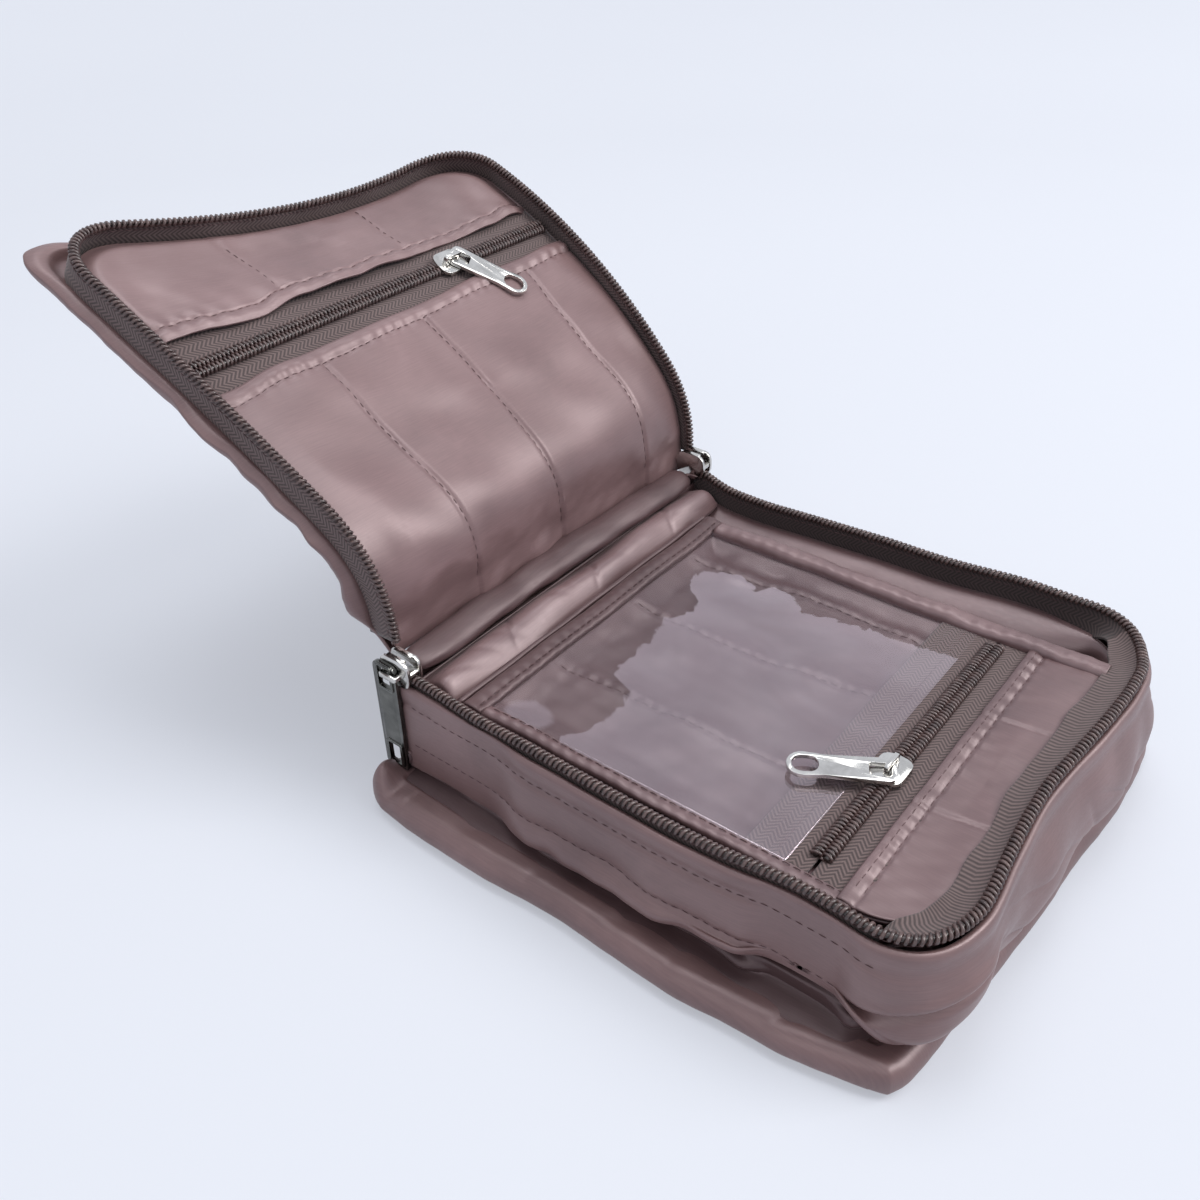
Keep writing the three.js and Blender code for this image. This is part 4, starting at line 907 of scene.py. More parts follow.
def pull_room(P, t, lowest, limit=72.2):
    """Presses cloth flat where an outer pull hangs or swings when its slider is at either end of its run."""
    places = ((126.0, 12), (BASE_LONG - 126.0, 12), (14.0, 26), (BASE_LONG - 14.0, 26))
    beside = sum(np.exp(-((t - place) / half) ** 6) for place, half in places)
    while beside.ndim < P.ndim - 1:
        beside = beside[:, None]
    beside = beside * ease((P[..., 2] - lowest) / 1.5)
    over = np.clip(np.abs(P[..., 1]) - limit, 0, None)
    P[..., 1] = P[..., 1] - np.sign(P[..., 1]) * over * beside
    return P


def through(points, count):
    """A smooth line through a few points, evenly divided."""
    points = np.asarray(points, float)
    k = np.arange(len(points))
    t = np.linspace(0, len(points) - 1, count * 4)
    i = np.clip(t.astype(int), 0, len(points) - 2)
    f = t - i
    before = points[np.clip(i - 1, 0, None)]
    a, b = points[i], points[i + 1]
    after = points[np.clip(i + 2, None, len(points) - 1)]
    f = f[:, None]
    line = 0.5 * (2 * a + (b - before) * f + (2 * before - 5 * a + 4 * b - after) * f ** 2 + (3 * a - before - 3 * b + after) * f ** 3)
    along = np.concatenate([[0], np.cumsum(np.linalg.norm(np.diff(line, axis=0), axis=1))])
    even = np.linspace(0, along[-1], count)
    return np.stack([np.interp(even, along, line[:, j]) for j in range(line.shape[1])], -1)


def opening(t):
    """1 where the fold under the wall gapes, along the front and back, and near 0 where it is pressed flat at the free end."""
    past = np.minimum(t, BASE_LONG - t) - (CORNER_AT - 15)
    return 1 - 0.94 * ease(past / 8)


# Topstitched band round the outside. Below it the cloth tucks in, or runs slack down to the bottom pad at the free end.
def build_wall_band():
    t = np.linspace(0, BASE_LONG, 440)
    tucked = through([(0.7, 37.2), (0.8, 39.2), (1.6, 39.9), (2.5, 39.0), (2.6, 37.0), (2.1, 33.8), (2.9, 32.0), (3.3, 28.4), (3.3, 25.0),
                      (2.9, 21.8), (2.4, 20.6), (3.1, 19.5), (4.0, 17.6), (4.4, 15.4), (4.0, 13.4), (2.6, 12.4), (0.6, 12.2), (-1.4, 12.7), (-2.4, 13.2)], 90)
    slack = through([(0.7, 37.2), (0.8, 39.2), (1.6, 39.9), (2.4, 39.0), (2.6, 37.0), (2.4, 34.4), (2.8, 32.0), (3.2, 29.0), (3.4, 26.0),
                     (3.5, 23.0), (3.4, 20.0), (3.2, 17.0), (2.9, 14.4), (2.4, 12.2), (1.4, 10.4), (0.2, 9.2), (-1.0, 8.6)], 90)
    T = t[:, None]
    gape = opening(T)
    out = gape * tucked[:, 0] + (1 - gape) * slack[:, 0]
    z = gape * tucked[:, 1] + (1 - gape) * slack[:, 1]
    line = tucked[None, :, 1]
    low = ease((36 - z) / 16)
    lower = ease((19.5 - line) / 5)
    front, back = (share[:, None] for share in corner_share(t, 20))
    sway = 0.35 * waves(T, z, 66, 72) + 0.6 * low * waves(T, z * 0.3, 44, 73) + 0.7 * lower * gape * waves(T, z * 0.2, 30, 74)
    swell = (1 - gape) * (1.6 * np.sin(np.clip((36 - z) / 26, 0, 1) * math.pi) * (1 + 0.4 * waves(T, z, 50, 79)) - 0.7 * creases(T + 1.2 * z, z, 50, 75, 5.0) * low)
    arch = 18 + 9 * np.sin(np.clip((T - 134) / 44, 0, 1) * 1.9)
    span = ease((T - 134) / 8) * (1 - ease((T - 166) / 16))
    bulge = 2.6 * np.exp(-((T - CORNER_AT + 2) / 11) ** 2 - ((z - 14.5) / 4.5) ** 2)
    bulge = bulge + span * (0.8 * np.exp(-((z - arch - 1.4) / 1.7) ** 2) - 2.1 * np.exp(-((z - arch + 1.6) / 1.5) ** 2))
    stitched = gape ** 2
    ripple = 0.1 * np.sin(2 * math.pi * T / 5.3 + 1.5 * waves(T, 0 * z, 30, 76, 1)) * np.exp(-((line - 33.8) / 1.6) ** 2) * stitched
    ripple = ripple + 0.1 * np.sin(2 * math.pi * T / 5.7 + 1.5 * waves(T, 0 * z, 34, 77, 1)) * np.exp(-((line - 20.6) / 1.6) ** 2) * stitched
    height = z + lower * gape * (0.7 * waves(T, 0 * z, 62, 78) + knots(LIP_RISE, T))
    P = pull_room(base_at(T, out + sway + bulge + swell + ripple, height), t, 8.0)
    N = grid_normals(P)
    skin = Skin()
    skin.layers(P, N, 0.35, -0.35, uv=np.stack([T + 0 * z, z + 0 * T], -1))
    for level in (33.8, 20.6):
        j = int(np.argmin(np.abs(tucked[:, 1] - level)))
        for keep in (t < CORNER_AT - 8, t > BASE_LONG - CORNER_AT + 8):
            path, normal = P[keep][3:-3, j], N[keep][3:-3, j]
            outward = base_at(t[keep][3:-3], 5.0, level) - base_at(t[keep][3:-3], 0.0, level)
            sign = np.sign((normal * outward).sum(-1, keepdims=True))
            skin.stitches(path + sign * normal * 0.38, sign * normal, 1, pitch=2.9, length=2.1, radius=0.12, lift=0.06)
    band = skin.build("wall_band_satin", [SATIN_OUT, THREAD])
    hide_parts("wall_band")
    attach(band, "base")


# Fold that tucks in below the band, above the bottom pad, made in the dark satin copy with painted shade
def build_gusset():
    t = np.linspace(0, BASE_LONG, 320)
    profile = through([(-1.6, 13.6), (-3.6, 14.0), (-5.0, 13.2), (-4.6, 11.7), (-2.6, 11.0), (-0.6, 10.8), (1.0, 10.4), (1.3, 9.7), (0.3, 9.1), (1.6, 8.7), (4.0, 8.4), (6.0, 8.0)], 70)
    out, z = profile[:, 0][None, :], profile[:, 1][None, :]
    T = t[:, None]
    share = np.linspace(0, 1, 70)[None, :]
    mid = np.sin(share * math.pi)
    gape = opening(T)
    shift = mid * (0.9 * waves(T, share * 8, 74, 81) + 0.35 * waves(T, share * 20, 21, 82))
    ridge = 1.1 * np.exp(-((share - 0.42 - 0.14 * waves(T, 0 * share, 90, 84, 1)) / 0.07) ** 2)
    tight = (out + shift + ridge) * gape + (1 - gape) * (out * 0.25 - 4.0)
    P = pull_room(base_at(T, tight, z + 0.5 * mid * waves(T, 0 * z, 80, 83) + 0.3 * ridge + gape * (knots(LIP_RISE, T) + 1) * (1 - share) ** 1.6), t, 8.6, 71.0)
    skin = Skin()
    skin.layers(P, grid_normals(P), 0.3, -0.3, uv=np.stack([T + 0 * z, share * 24 + 0 * T], -1))
    fold = skin.build("gusset_satin", [SATIN_DARK_PAINTED_SHADE])
    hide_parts("gusset_fold")
    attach(fold, "base")


# Padded bottom with its thick rolled edge and its slightly drawn-out corners
def build_bottom():
    x0, x1, half, corner = -83.6, 81.0, 80.0, 5.0
    nu, nv = 150, 140
    u = np.sin(np.linspace(-1, 1, nu) * math.pi / 2 * 0.9) / math.sin(math.pi / 2 * 0.9)
    v = np.sin(np.linspace(-1, 1, nv) * math.pi / 2 * 0.9) / math.sin(math.pi / 2 * 0.9)
    U, V = np.meshgrid(u, v, indexing="ij")
    a, b = (x1 - x0) / 2, half
    k = 1 - 0.5 * (corner / a) * np.abs(U * V) ** 12
    right = np.interp(V, (-1, -0.8, -0.6, -0.25, 0.14, 0.5, 0.85, 1), (77.4, 78.6, 80.2, 82.2, 84.0, 85.4, 84.4, 83.0))
    left = np.interp(V, (-1, -0.8, -0.5, 0, 1), (-88.5, -86.8, -85.0, -83.8, -83.6))
    front = np.interp(U, (-1, -0.9, -0.6, 0, 0.35, 0.65, 0.85, 1), (-83.0, -85.2, -86.1, -85.9, -85.3, -83.5, -81.8, -80.2))
    X = (left + right) / 2 + (right - left) / 2 * U * k
    Y = (front + 77.4) / 2 + (77.4 - front) / 2 * V * k
    d = np.minimum(a * (1 - np.abs(U)), b * (1 - np.abs(V)))
    roll = 5.2
    rounded = np.sqrt(np.clip(1 - np.clip(1 - d / roll, 0, 1) ** 2, 0, 1))
    wrinkle = 0.35 * waves(X, Y, 60, 91) + 0.12 * waves(X, Y, 19, 92)
    crease = creases(X, Y, 64, 93, 10.0)
    edge = np.exp(-(d / 9) ** 2)
    push = (0.7 * waves(X, Y, 90, 94) + 0.15 * waves(X, Y, 22, 95)) * edge
    Xp, Yp = X + push * np.sign(U) * (np.abs(U) > 0.93), Y + push * np.sign(V) * (np.abs(V) > 0.93)
    low_edge = 3.6
    top = low_edge + (5.2 + 0.4 * wrinkle - 0.7 * crease * edge) * rounded
    under = low_edge - (low_edge - 0.05) * rounded
    top = np.where(d > 9.5, np.minimum(top, 7.6), top)
    top = top + 4.6 * np.exp(-((U + 0.95) / 0.05) ** 2 - ((V + 0.93) / 0.07) ** 2) - 1.2 * np.exp(-((U + 0.87) / 0.03) ** 2 - ((V + 0.95) / 0.06) ** 2)
    skin = Skin()
    P = np.stack([Xp, Yp, 0 * Xp], -1)
    N = np.broadcast_to(np.array([0, 0, 1.0]), P.shape)
    skin.layers(P, N, top, under, uv=np.stack([X, Y], -1))
    cover = skin.build("bottom_padded_cover", [SATIN_OUT])
    smooth_more(cover)
    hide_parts("bottom_cover", "bottom_board", "bottom_foam")
    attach(cover, "base")


def build_floor_lining():
    x = np.linspace(-77.2, 79.3, 90)
    y = np.linspace(-69.5, 69.5, 80)
    X, Y = np.meshgrid(x, y, indexing="ij")
    d = np.minimum(np.minimum(X + 77.2, 79.3 - X), 69.5 - np.abs(Y))
    z = 8.1 + 0.45 * waves(X, Y, 60, 101) * ease(d / 10) + 0.5 * np.exp(-(d / 5) ** 2)
    X = -77.2 + (X + 77.2) * (np.interp(Y, (-69.5, -55, -30, 69.5), (68.5, 72.5, 76, 77)) + 77.2) / 156.5
    skin = Skin()
    P = np.stack([X, Y, z], -1)
    skin.layers(P, np.broadcast_to([0, 0, 1.0], P.shape), 0.0, -0.5, uv=np.stack([X, Y], -1))
    floor = skin.build("floor_satin", [SATIN_IN])
    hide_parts("floor_lining")
    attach(floor, "base")


# How far the tape flops over the end of the page, by place along the rim
FLOP = ((0, 0), (136, 0), (141, 3.5), (148, 9.2), (174, 9.0), (186, 7.2), (195, 6.2), (205, 7.4), (225, 8.0), (241, 9.2), (252, 9.6), (270, 8.6), (284, 8.0), (300, 3.5), (312, 1.0), (439, 0.6))


def build_base_zip():
    t = np.linspace(0, BASE_LONG, 360)
    c = np.linspace(0, 1, 20)
    T, C = t[:, None], c[None, :]
    flop = knots(FLOP, T)
    flat = ease(flop / 7)
    flop = flop * (1 + 0.05 * waves(T, 0 * C, 26, 112, 2))
    out = -(0.3 + 0.25 * C * (1 + waves(T, 15 * C, 50, 111))) * (1 - flat) - flop * C ** 1.1
    Z = 42.4 - (1 - flat) * 15.4 * C - flat * 2.9 * np.sin(C * math.pi / 2) + 0.25 * flat * C * waves(T, 0 * C, 22, 113, 2)
    P = base_at(T, out, Z)
    N = grid_normals(P)
    cloth = np.stack([T + 0 * Z, Z + 0 * T], -1)
    # From here on, round the back, the tape uses its darker copy with painted shade
    split = int(np.searchsorted(t, BASE_LONG - CORNER_AT + 4))
    skin = Skin()
    skin.layers(P[:split + 1], N[:split + 1], 0.35, -0.35, uv=cloth[:split + 1])
    skin.layers(P[split:], N[split:], 0.35, -0.35, uv=cloth[split:], mat=2)
    m = np.linspace(3, BASE_LONG - 3, 260)
    for side in (-1, 1):
        row = base_at(m, 0.42 * side - 0.35, 40.4)
        towards = base_at(m, side * 1.0, 40.4) - base_at(m, 0.0, 40.4)
        skin.stitches(row, unit(towards), 1, pitch=2.4, length=1.8, radius=0.13, lift=0.06)
    tape = skin.build("base_rim_tape", [TAPE, THREAD, TAPE_PAINTED_SHADE])
    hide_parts("base_zip_tape")
    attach(tape, "base")
    skin = Skin()
    turns = int(BASE_LONG / 1.5)
    t = np.linspace(0, BASE_LONG, turns * 9)
    phase = 2 * math.pi * np.arange(len(t)) / 9
    skin.tube(base_at(t, 1.15 * np.cos(phase), 42.4 + 0.82 * np.sin(phase)), 0.52, 0, sides=5)
    t = np.linspace(0, BASE_LONG, 240)
    skin.tube(base_at(t, 0.0, 42.3), 0.82, 1, sides=6)
    coil = skin.build("base_rim_coil", [COIL, CORE])
    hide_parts("base_zip_coil")
    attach(coil, "base")


# Satin lining of the walls, slack and creased where it leans in, most of all along the back, in a darker copy of the
# inner satin with painted shade
def build_wall_lining():
    t = np.linspace(0, BASE_LONG, 340)
    profile = through([(-1.2, 35.4), (-2.0, 34.4), (-2.6, 32.2), (-3.4, 27.0), (-5.4, 19.0), (-8.0, 10.4), (-9.4, 9.0)], 50)
    out, z = profile[:, 0][None, :], profile[:, 1][None, :]
    T = t[:, None]
    share = np.linspace(0, 1, 50)[None, :]
    mid = np.sin(share * math.pi)
    back = ease((T - (BASE_LONG - CORNER_AT + 6)) / 26)
    end = ease((T - CORNER_AT + 16) / 14) * (1 - back)
    belly = np.sin(np.clip(share / 0.62, 0, 1) * math.pi) ** 0.8
    puff = mid * (0.8 * waves(T, z, 50, 121) + 0.5 * waves(T, z * 0.4, 22, 122)) - 1.6 * mid * creases(T + 0.8 * z, z * 0.5, 40, 123, 7.0)
    inward = -(11.5 * back + 2.0 * end) * belly - 3.5 * end * (1 - share) - np.clip(puff, -2.2, 1.6) * 0.8 * (1 - 0.6 * end)
    P = base_at(T, out + inward, z - 1.5 * back * mid)
    skin = Skin()
    skin.layers(P, grid_normals(P), 0.35, -0.35, uv=np.stack([T + 0 * z, z + 0 * T], -1))
    lining = skin.build("wall_lining_satin", [SATIN_LINING_PAINTED_SHADE])
    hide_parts("wall_lining")
    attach(lining, "base")


# Spine of the case, its lining, the roll on the hinge line and the fold inside it. The spine's recess, its lining and
# the roll are in the dark satin copy with painted shade, the fold in a lighter copy with painted light
def build_spine():
    y = np.linspace(-74.4, 74.4, 170)
    profile = through([(0.8, 40.8), (-0.2, 41.0), (-0.6, 39.6), (-1.6, 37.8), (-2.2, 33.0), (-1.6, 27.6), (-2.4, 24.0), (-3.2, 20.0), (-2.2, 17.4), (0.0, 16.8)], 60)
    Y = y[:, None]
    narrow = 1 - 0.075 * ease((profile[:, 1] - 37.5) / 2.5)[None, :]
    out, z = profile[:, 0][None, :], profile[:, 1][None, :]
    low = ease((36 - z) / 14)
    shift = 0.7 * waves(Y, z, 54, 131) + 0.8 * low * waves(Y, z * 0.3, 26, 132)
    wrap = np.clip((np.abs(Y) - 71.4) / 3.0, 0, 1)
    bent = np.sign(Y) * (np.minimum(np.abs(Y), 71.4) + 1.6 * np.sin(wrap * math.pi / 2))
    P = np.stack(np.broadcast_arrays(-80.2 + out - np.abs(shift) * 0.5 + 0.2 + 3.4 * (1 - np.cos(wrap * math.pi / 2)), bent * narrow, z), -1)
    skin = Skin()
    skin.layers(P, grid_normals(P), 0.35, -0.35, uv=np.stack([Y + 0 * z, z + 0 * Y], -1))
    recess = through([(0.2, 17.8), (2.2, 15.6), (2.6, 13.4), (0.8, 11.4), (-0.6, 9.6), (-1.8, 7.6)], 24)
    R = np.stack(np.broadcast_arrays(-80 + recess[:, 0][None, :] + 0.4 * waves(Y, recess[:, 1][None, :], 34, 133), Y * 0.985, recess[:, 1][None, :]), -1)
    skin.layers(R, grid_normals(R), 0.3, -0.3, mat=1)
    spine = skin.build("spine_satin", [SATIN_OUT, SATIN_DARK_PAINTED_SHADE])
    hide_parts("spine_panel")
    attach(spine, "base")

    y = np.linspace(-68.6, 68.6, 110)
    z = np.linspace(9.2, 37.6, 30)
    Y, Z = np.meshgrid(y, z, indexing="ij")
    X = -78.2 + 0.45 * (1 + waves(Y, Z, 36, 134)) * np.sin((Z - 9.2) / 28.4 * math.pi)
    skin = Skin()
    skin.layers(np.stack([X, Y, Z], -1), np.broadcast_to([1.0, 0, 0], X.shape + (3,)), 0.3, -0.3, uv=np.stack([Y, Z], -1))
    lining = skin.build("spine_lining_satin", [SATIN_DARK_PAINTED_SHADE])
    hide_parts("spine_lining")
    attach(lining, "base")

    y = np.linspace(-66.0, 66.0, 160)
    turn = np.linspace(0, 2 * math.pi, 36, endpoint=False)
    Y, A = np.meshgrid(y, turn, indexing="ij")
    R = 1 + 0.08 * waves(Y, 6 * np.cos(A), 44, 136) + 0.03 * waves(Y, 9 * A, 20, 135)
    R = R * (0.3 + 0.7 * np.sqrt(np.clip(1 - (np.abs(Y) / 66.01) ** 26, 0, 1)))
    skin = Skin()
    sag = 0.4 + 2.6 * ease((Y + 10) / 76) + 0.5 * waves(Y, 0 * Y, 46, 141)
    P = np.stack([-80.6 + 4.6 * R * np.cos(A), Y, 43.0 - 0.8 * sag + R * (2.7 * np.sin(A) - 1.2 * np.cos(A))], -1)
    skin.grid(P, np.stack([Y, A * 3], -1), wrap_v=True)
    for end in (0, -1):
        close_ring(skin, P[end], end == 0)
    roll = skin.build("hinge_roll_satin", [SATIN_DARK_PAINTED_SHADE])
    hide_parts("hinge_roll")
    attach(roll, "base")

    half = 65.0
    y = np.linspace(-half, half, 260)
    turn = np.linspace(0, 2 * math.pi, 64, endpoint=False)
    Y, A = np.meshgrid(y, turn, indexing="ij")
    top = np.clip(np.sin(A), 0, 1)
    drift = Y + 5.0 * np.cos(A)
    tack = sum(np.exp(-((drift - place) / 1.1) ** 2) for place in (-33.0, 4.0, 44.0))
    slack = sum(np.exp(-((drift - place) / 10.0) ** 2) for place in (-33.0, 4.0, 44.0))
    swell = 1 + 0.10 * waves(Y, 3 * A, 58, 137) - (0.10 * tack + 0.12 * slack) * top
    swell = swell * (0.45 + 0.55 * np.sqrt(np.clip(1 - (np.abs(Y) / (half + 0.01)) ** 24, 0, 1)))
    crest = 1.2 * waves(Y, 0 * Y, 60, 139, 2) - 0.5 * slack
    place = (1 - np.cos(A)) / 2
    rise = np.where(np.sin(A) > 0, 5.4 * np.sin(math.pi * (1 - place) ** 1.5), -4.6 * np.abs(np.sin(A)) ** 0.8)
    across = np.cos(A) * 7.6 + crest * top ** 2
    dent = 0.35 * creases(Y + 5 * A, 6 * A, 44, 140, 6.0) * top
    lower = 1.6 * ease((Y - 5) / 60) * (1 - place)
    P = np.stack([-73.0 + across * (0.8 + 0.2 * swell), Y, 35.8 + (rise - dent) * swell - 0.5 * lower], -1)
    skin = Skin()
    skin.grid(P, np.stack([Y, A * 6], -1), wrap_v=True)
    for end in (0, -1):
        close_ring(skin, P[end], end == 0)
    # The inner fold uses the lighter satin copy with painted light
    fold = skin.build("inner_fold_satin", [SATIN_PAINTED_LIGHT])
    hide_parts("inner_fold")
    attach(fold, "base")

    skin = Skin()
    line = np.linspace(-66, 51, 80)
    twist = 0.12 * np.sin(line * 4)
    skin.tube(np.stack([-62.8 + twist, line, 37.5 + 0 * line], -1), 0.8, sides=12)
    # The seam cord uses the dark binding satin with painted shade
    cord = skin.build("page_seam_satin", [BINDING_PAINTED_SHADE])
    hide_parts("page_seam_cord")
    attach(cord, "base")


def close_ring(skin, ring, flip):
    """Closes an open end of a round piece with shrinking rings."""
    centre = ring.mean(0)
    shares = np.array([1.0, 0.66, 0.33, 0.02])[:, None, None]
    P = centre + (ring[None] - centre) * shares
    skin.grid(P if flip else P[::-1], np.zeros(P.shape[:2] + (2,)), wrap_v=True)


build_wall_band()
build_gusset()
build_bottom()
build_floor_lining()
build_base_zip()
build_wall_lining()
build_spine()


# Clear page: x and z are counted from its seam
PAGE_X, PAGE_Z = -62.8, 37.5
PAGE_FRONT, PAGE_REAR, PAGE_LONG = -66.0, 51.0, 136.0
PAGE_CORNER = 19.0


def page_front_edge(x):
    into = np.clip(x - (PAGE_LONG - PAGE_CORNER), 0, PAGE_CORNER)
    return PAGE_FRONT + PAGE_CORNER - np.sqrt(np.clip(PAGE_CORNER ** 2 - into ** 2, 0, None))


def page_grid(x0, x1, nu, nv, front=1.0, rear=1.0):
    x = np.linspace(x0, x1, nu)
    v = np.linspace(0, 1, nv)
    y0 = page_front_edge(x) + front
    X = np.broadcast_to(x[:, None], (nu, nv))
    return X, y0[:, None] + v[None, :] * (PAGE_REAR - rear - y0)[:, None]


def page_sheet(name, x0, x1, level, thick, materials, nu=110, nv=110, relief=None, front=1.0, rear=1.0, extra=None):
    X, Y = page_grid(x0, x1, nu, nv, front, rear)
    z = level + (relief(X, Y) if relief else 0 * X)
    P = np.stack([PAGE_X + X, Y, PAGE_Z + z], -1)
    skin = Skin()
    skin.layers(P, np.broadcast_to([0, 0, 1.0], P.shape), thick, 0.0, uv=np.stack([X, Y], -1))
    if extra:
        extra(skin, X, Y, P)
    return skin.build(name, materials)


PAGE_RIDGES = (-34.9, 1.3, 32.4)
RIDGE_SLOPE = 0.042


def page_back_relief(X, Y):
    d = np.minimum(np.minimum(X - 6, PAGE_LONG - X), np.minimum(Y - PAGE_FRONT - 5, PAGE_REAR - 5 - Y))
    z = -2.6 * ease(d / 9) + (0.55 * waves(X, Y, 58, 141) + 0.3 * waves(X, Y, 23, 142)) * ease(d / 6)
    z = z - 1.3 * np.exp(-((X - 104.8) / 7) ** 2) * ease(d / 6)
    for k, place in enumerate(PAGE_RIDGES):
        off = Y - place - 1.2 * waves(X, 0 * X, 70, 143 + k, 1) - RIDGE_SLOPE * X
        z = z + ease(d / 8) * (1.15 * np.exp(-(off / 3.6) ** 2) - 0.5 * np.exp(-((off + 1.2) / 0.8) ** 2))
        z = z + ease(d / 8) * 0.16 * np.sin(2 * math.pi * X / 4.6 + k) * np.exp(-(off / 2.0) ** 2)
    return z


def page_back_extra(skin, X, Y, P):
    for k, place in enumerate(PAGE_RIDGES):
        x = np.linspace(10, 128, 90)
        y = place + 1.2 * waves(x, 0 * x, 70, 143 + k, 1) + RIDGE_SLOPE * x - 1.1
        z = -1.0 + page_back_relief(x, y) + 0.75
        skin.stitches(np.stack([PAGE_X + x, y, PAGE_Z + z], -1), np.array([0, 0, 1.0]), 1, pitch=3.0, length=2.1, radius=0.09, lift=0.03)


def film_relief(X, Y):
    d = np.minimum(np.minimum(X - 7, 99.5 - X), np.minimum(Y - PAGE_FRONT - 6, PAGE_REAR - 6 - Y))
    return (0.35 * waves(X, Y, 64, 151, 2) + 0.12 * waves(X, Y, 27, 152, 1)) * ease(d / 12)


def strip_relief(X, Y):
    near = X - 113.0
    z = 0.3 * waves(X, Y, 44, 161) + 0.1 * waves(X, Y, 16, 162) - 0.5 * ease((near - 16) / 8)
    z = z + 0.22 * np.sin(2 * math.pi * (Y + 2 * waves(Y, 0 * Y, 30, 163, 1)) / 5.5) * np.exp(-((near - 3.8) / 2.6) ** 2)
    z = z + 0.6 * np.exp(-((near - 1.6) / 1.6) ** 2) - 0.45 * np.exp(-((near - 4.6) / 0.6) ** 2)
    for place in (-28.0, 12.0):
        off = Y - place - 0.14 * near
        z = z + 0.55 * np.exp(-np.clip(off, 0, None) / 4.0) * ease((off + 0.3) / 0.6) - 0.4 * np.exp(-(off / 0.7) ** 2)
    return z


def strip_extra(skin, X, Y, P):
    y = np.linspace(-60, 46, 100)
    for x in (117.6, 115.4):
        z = 0.5 + strip_relief(np.full(100, x), y) + 0.6
        skin.stitches(np.stack([PAGE_X + np.full(100, x), y, PAGE_Z + z], -1), np.array([0, 0, 1.0]), 1, pitch=2.8, length=2.0, radius=0.12, lift=0.05)


def padded_binding(name, node_name, line, across, width, materials, seed, stitch_at=None, open_end=False, plump=1.7):
    """Folded satin binding along a straight line. across points from its outer edge into the page."""
    n = 150
    a, b = (np.asarray(p, float) for p in line)
    share = np.linspace(0, 1, n)
    centre = a + (b - a) * share[:, None]
    long = np.linalg.norm(b - a)
    turn = np.linspace(0, 2 * math.pi, 28, endpoint=False)
    S, A = np.meshgrid(share * long, turn, indexing="ij")
    side = np.sign(np.cos(A)) * np.abs(np.cos(A)) ** 0.8 * width / 2
    high = np.sign(np.sin(A)) * np.abs(np.sin(A)) ** 0.9 * plump
    wav = 1 + 0.10 * waves(S, 4 * A, 34, seed) + 0.06 * waves(S, 4 * A, 12, seed + 1)
    groove = 0.0 if stitch_at is None else np.exp(-((side - (stitch_at - width / 2)) / 0.6) ** 2) * (np.sin(A) > 0)
    high = high * wav * (1 - 0.3 * groove) + 0.12 * np.sin(2 * math.pi * S / 4.4) * (np.sin(A) > 0) * np.abs(np.sin(A))
    shift = 0.25 * waves(S, 0 * S, 46, seed + 2, 2)
    across = np.asarray(across, float)
    P = centre[:, None] + across * (side + width / 2 + shift)[..., None] + np.array([0, 0, 1.0]) * high[..., None]
    skin = Skin()
    skin.grid(P, np.stack([S, A * width / 3], -1), wrap_v=True)
    close_ring(skin, P[0], True)
    if open_end:
        step = unit(b - a)
        middle = P[-1].mean(0)
        rings = [P[-1], P[-1] + step * 0.3 + 0.0, middle + (P[-1] - middle) * 0.82 + step * 0.1, middle + (P[-1] - middle) * 0.74 - step * 3.5, middle + (P[-1] - middle) * 0.05 - step * 3.6]
        skin.grid(np.array(rings), np.zeros((5, P.shape[1], 2)), wrap_v=True, mat=0)
    else:
        close_ring(skin, P[-1], False)
    if stitch_at is not None:
        p = centre + across * (stitch_at + shift[:, :1]) + np.array([0, 0, 1.0]) * (plump * 0.86)
        skin.stitches(p[2:-2], np.array([0, 0, 1.0]), 1, pitch=2.8, length=2.0, radius=0.15, lift=0.08)
    piece = skin.build(name, materials)
    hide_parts(node_name)
    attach(piece, "page")
    return piece


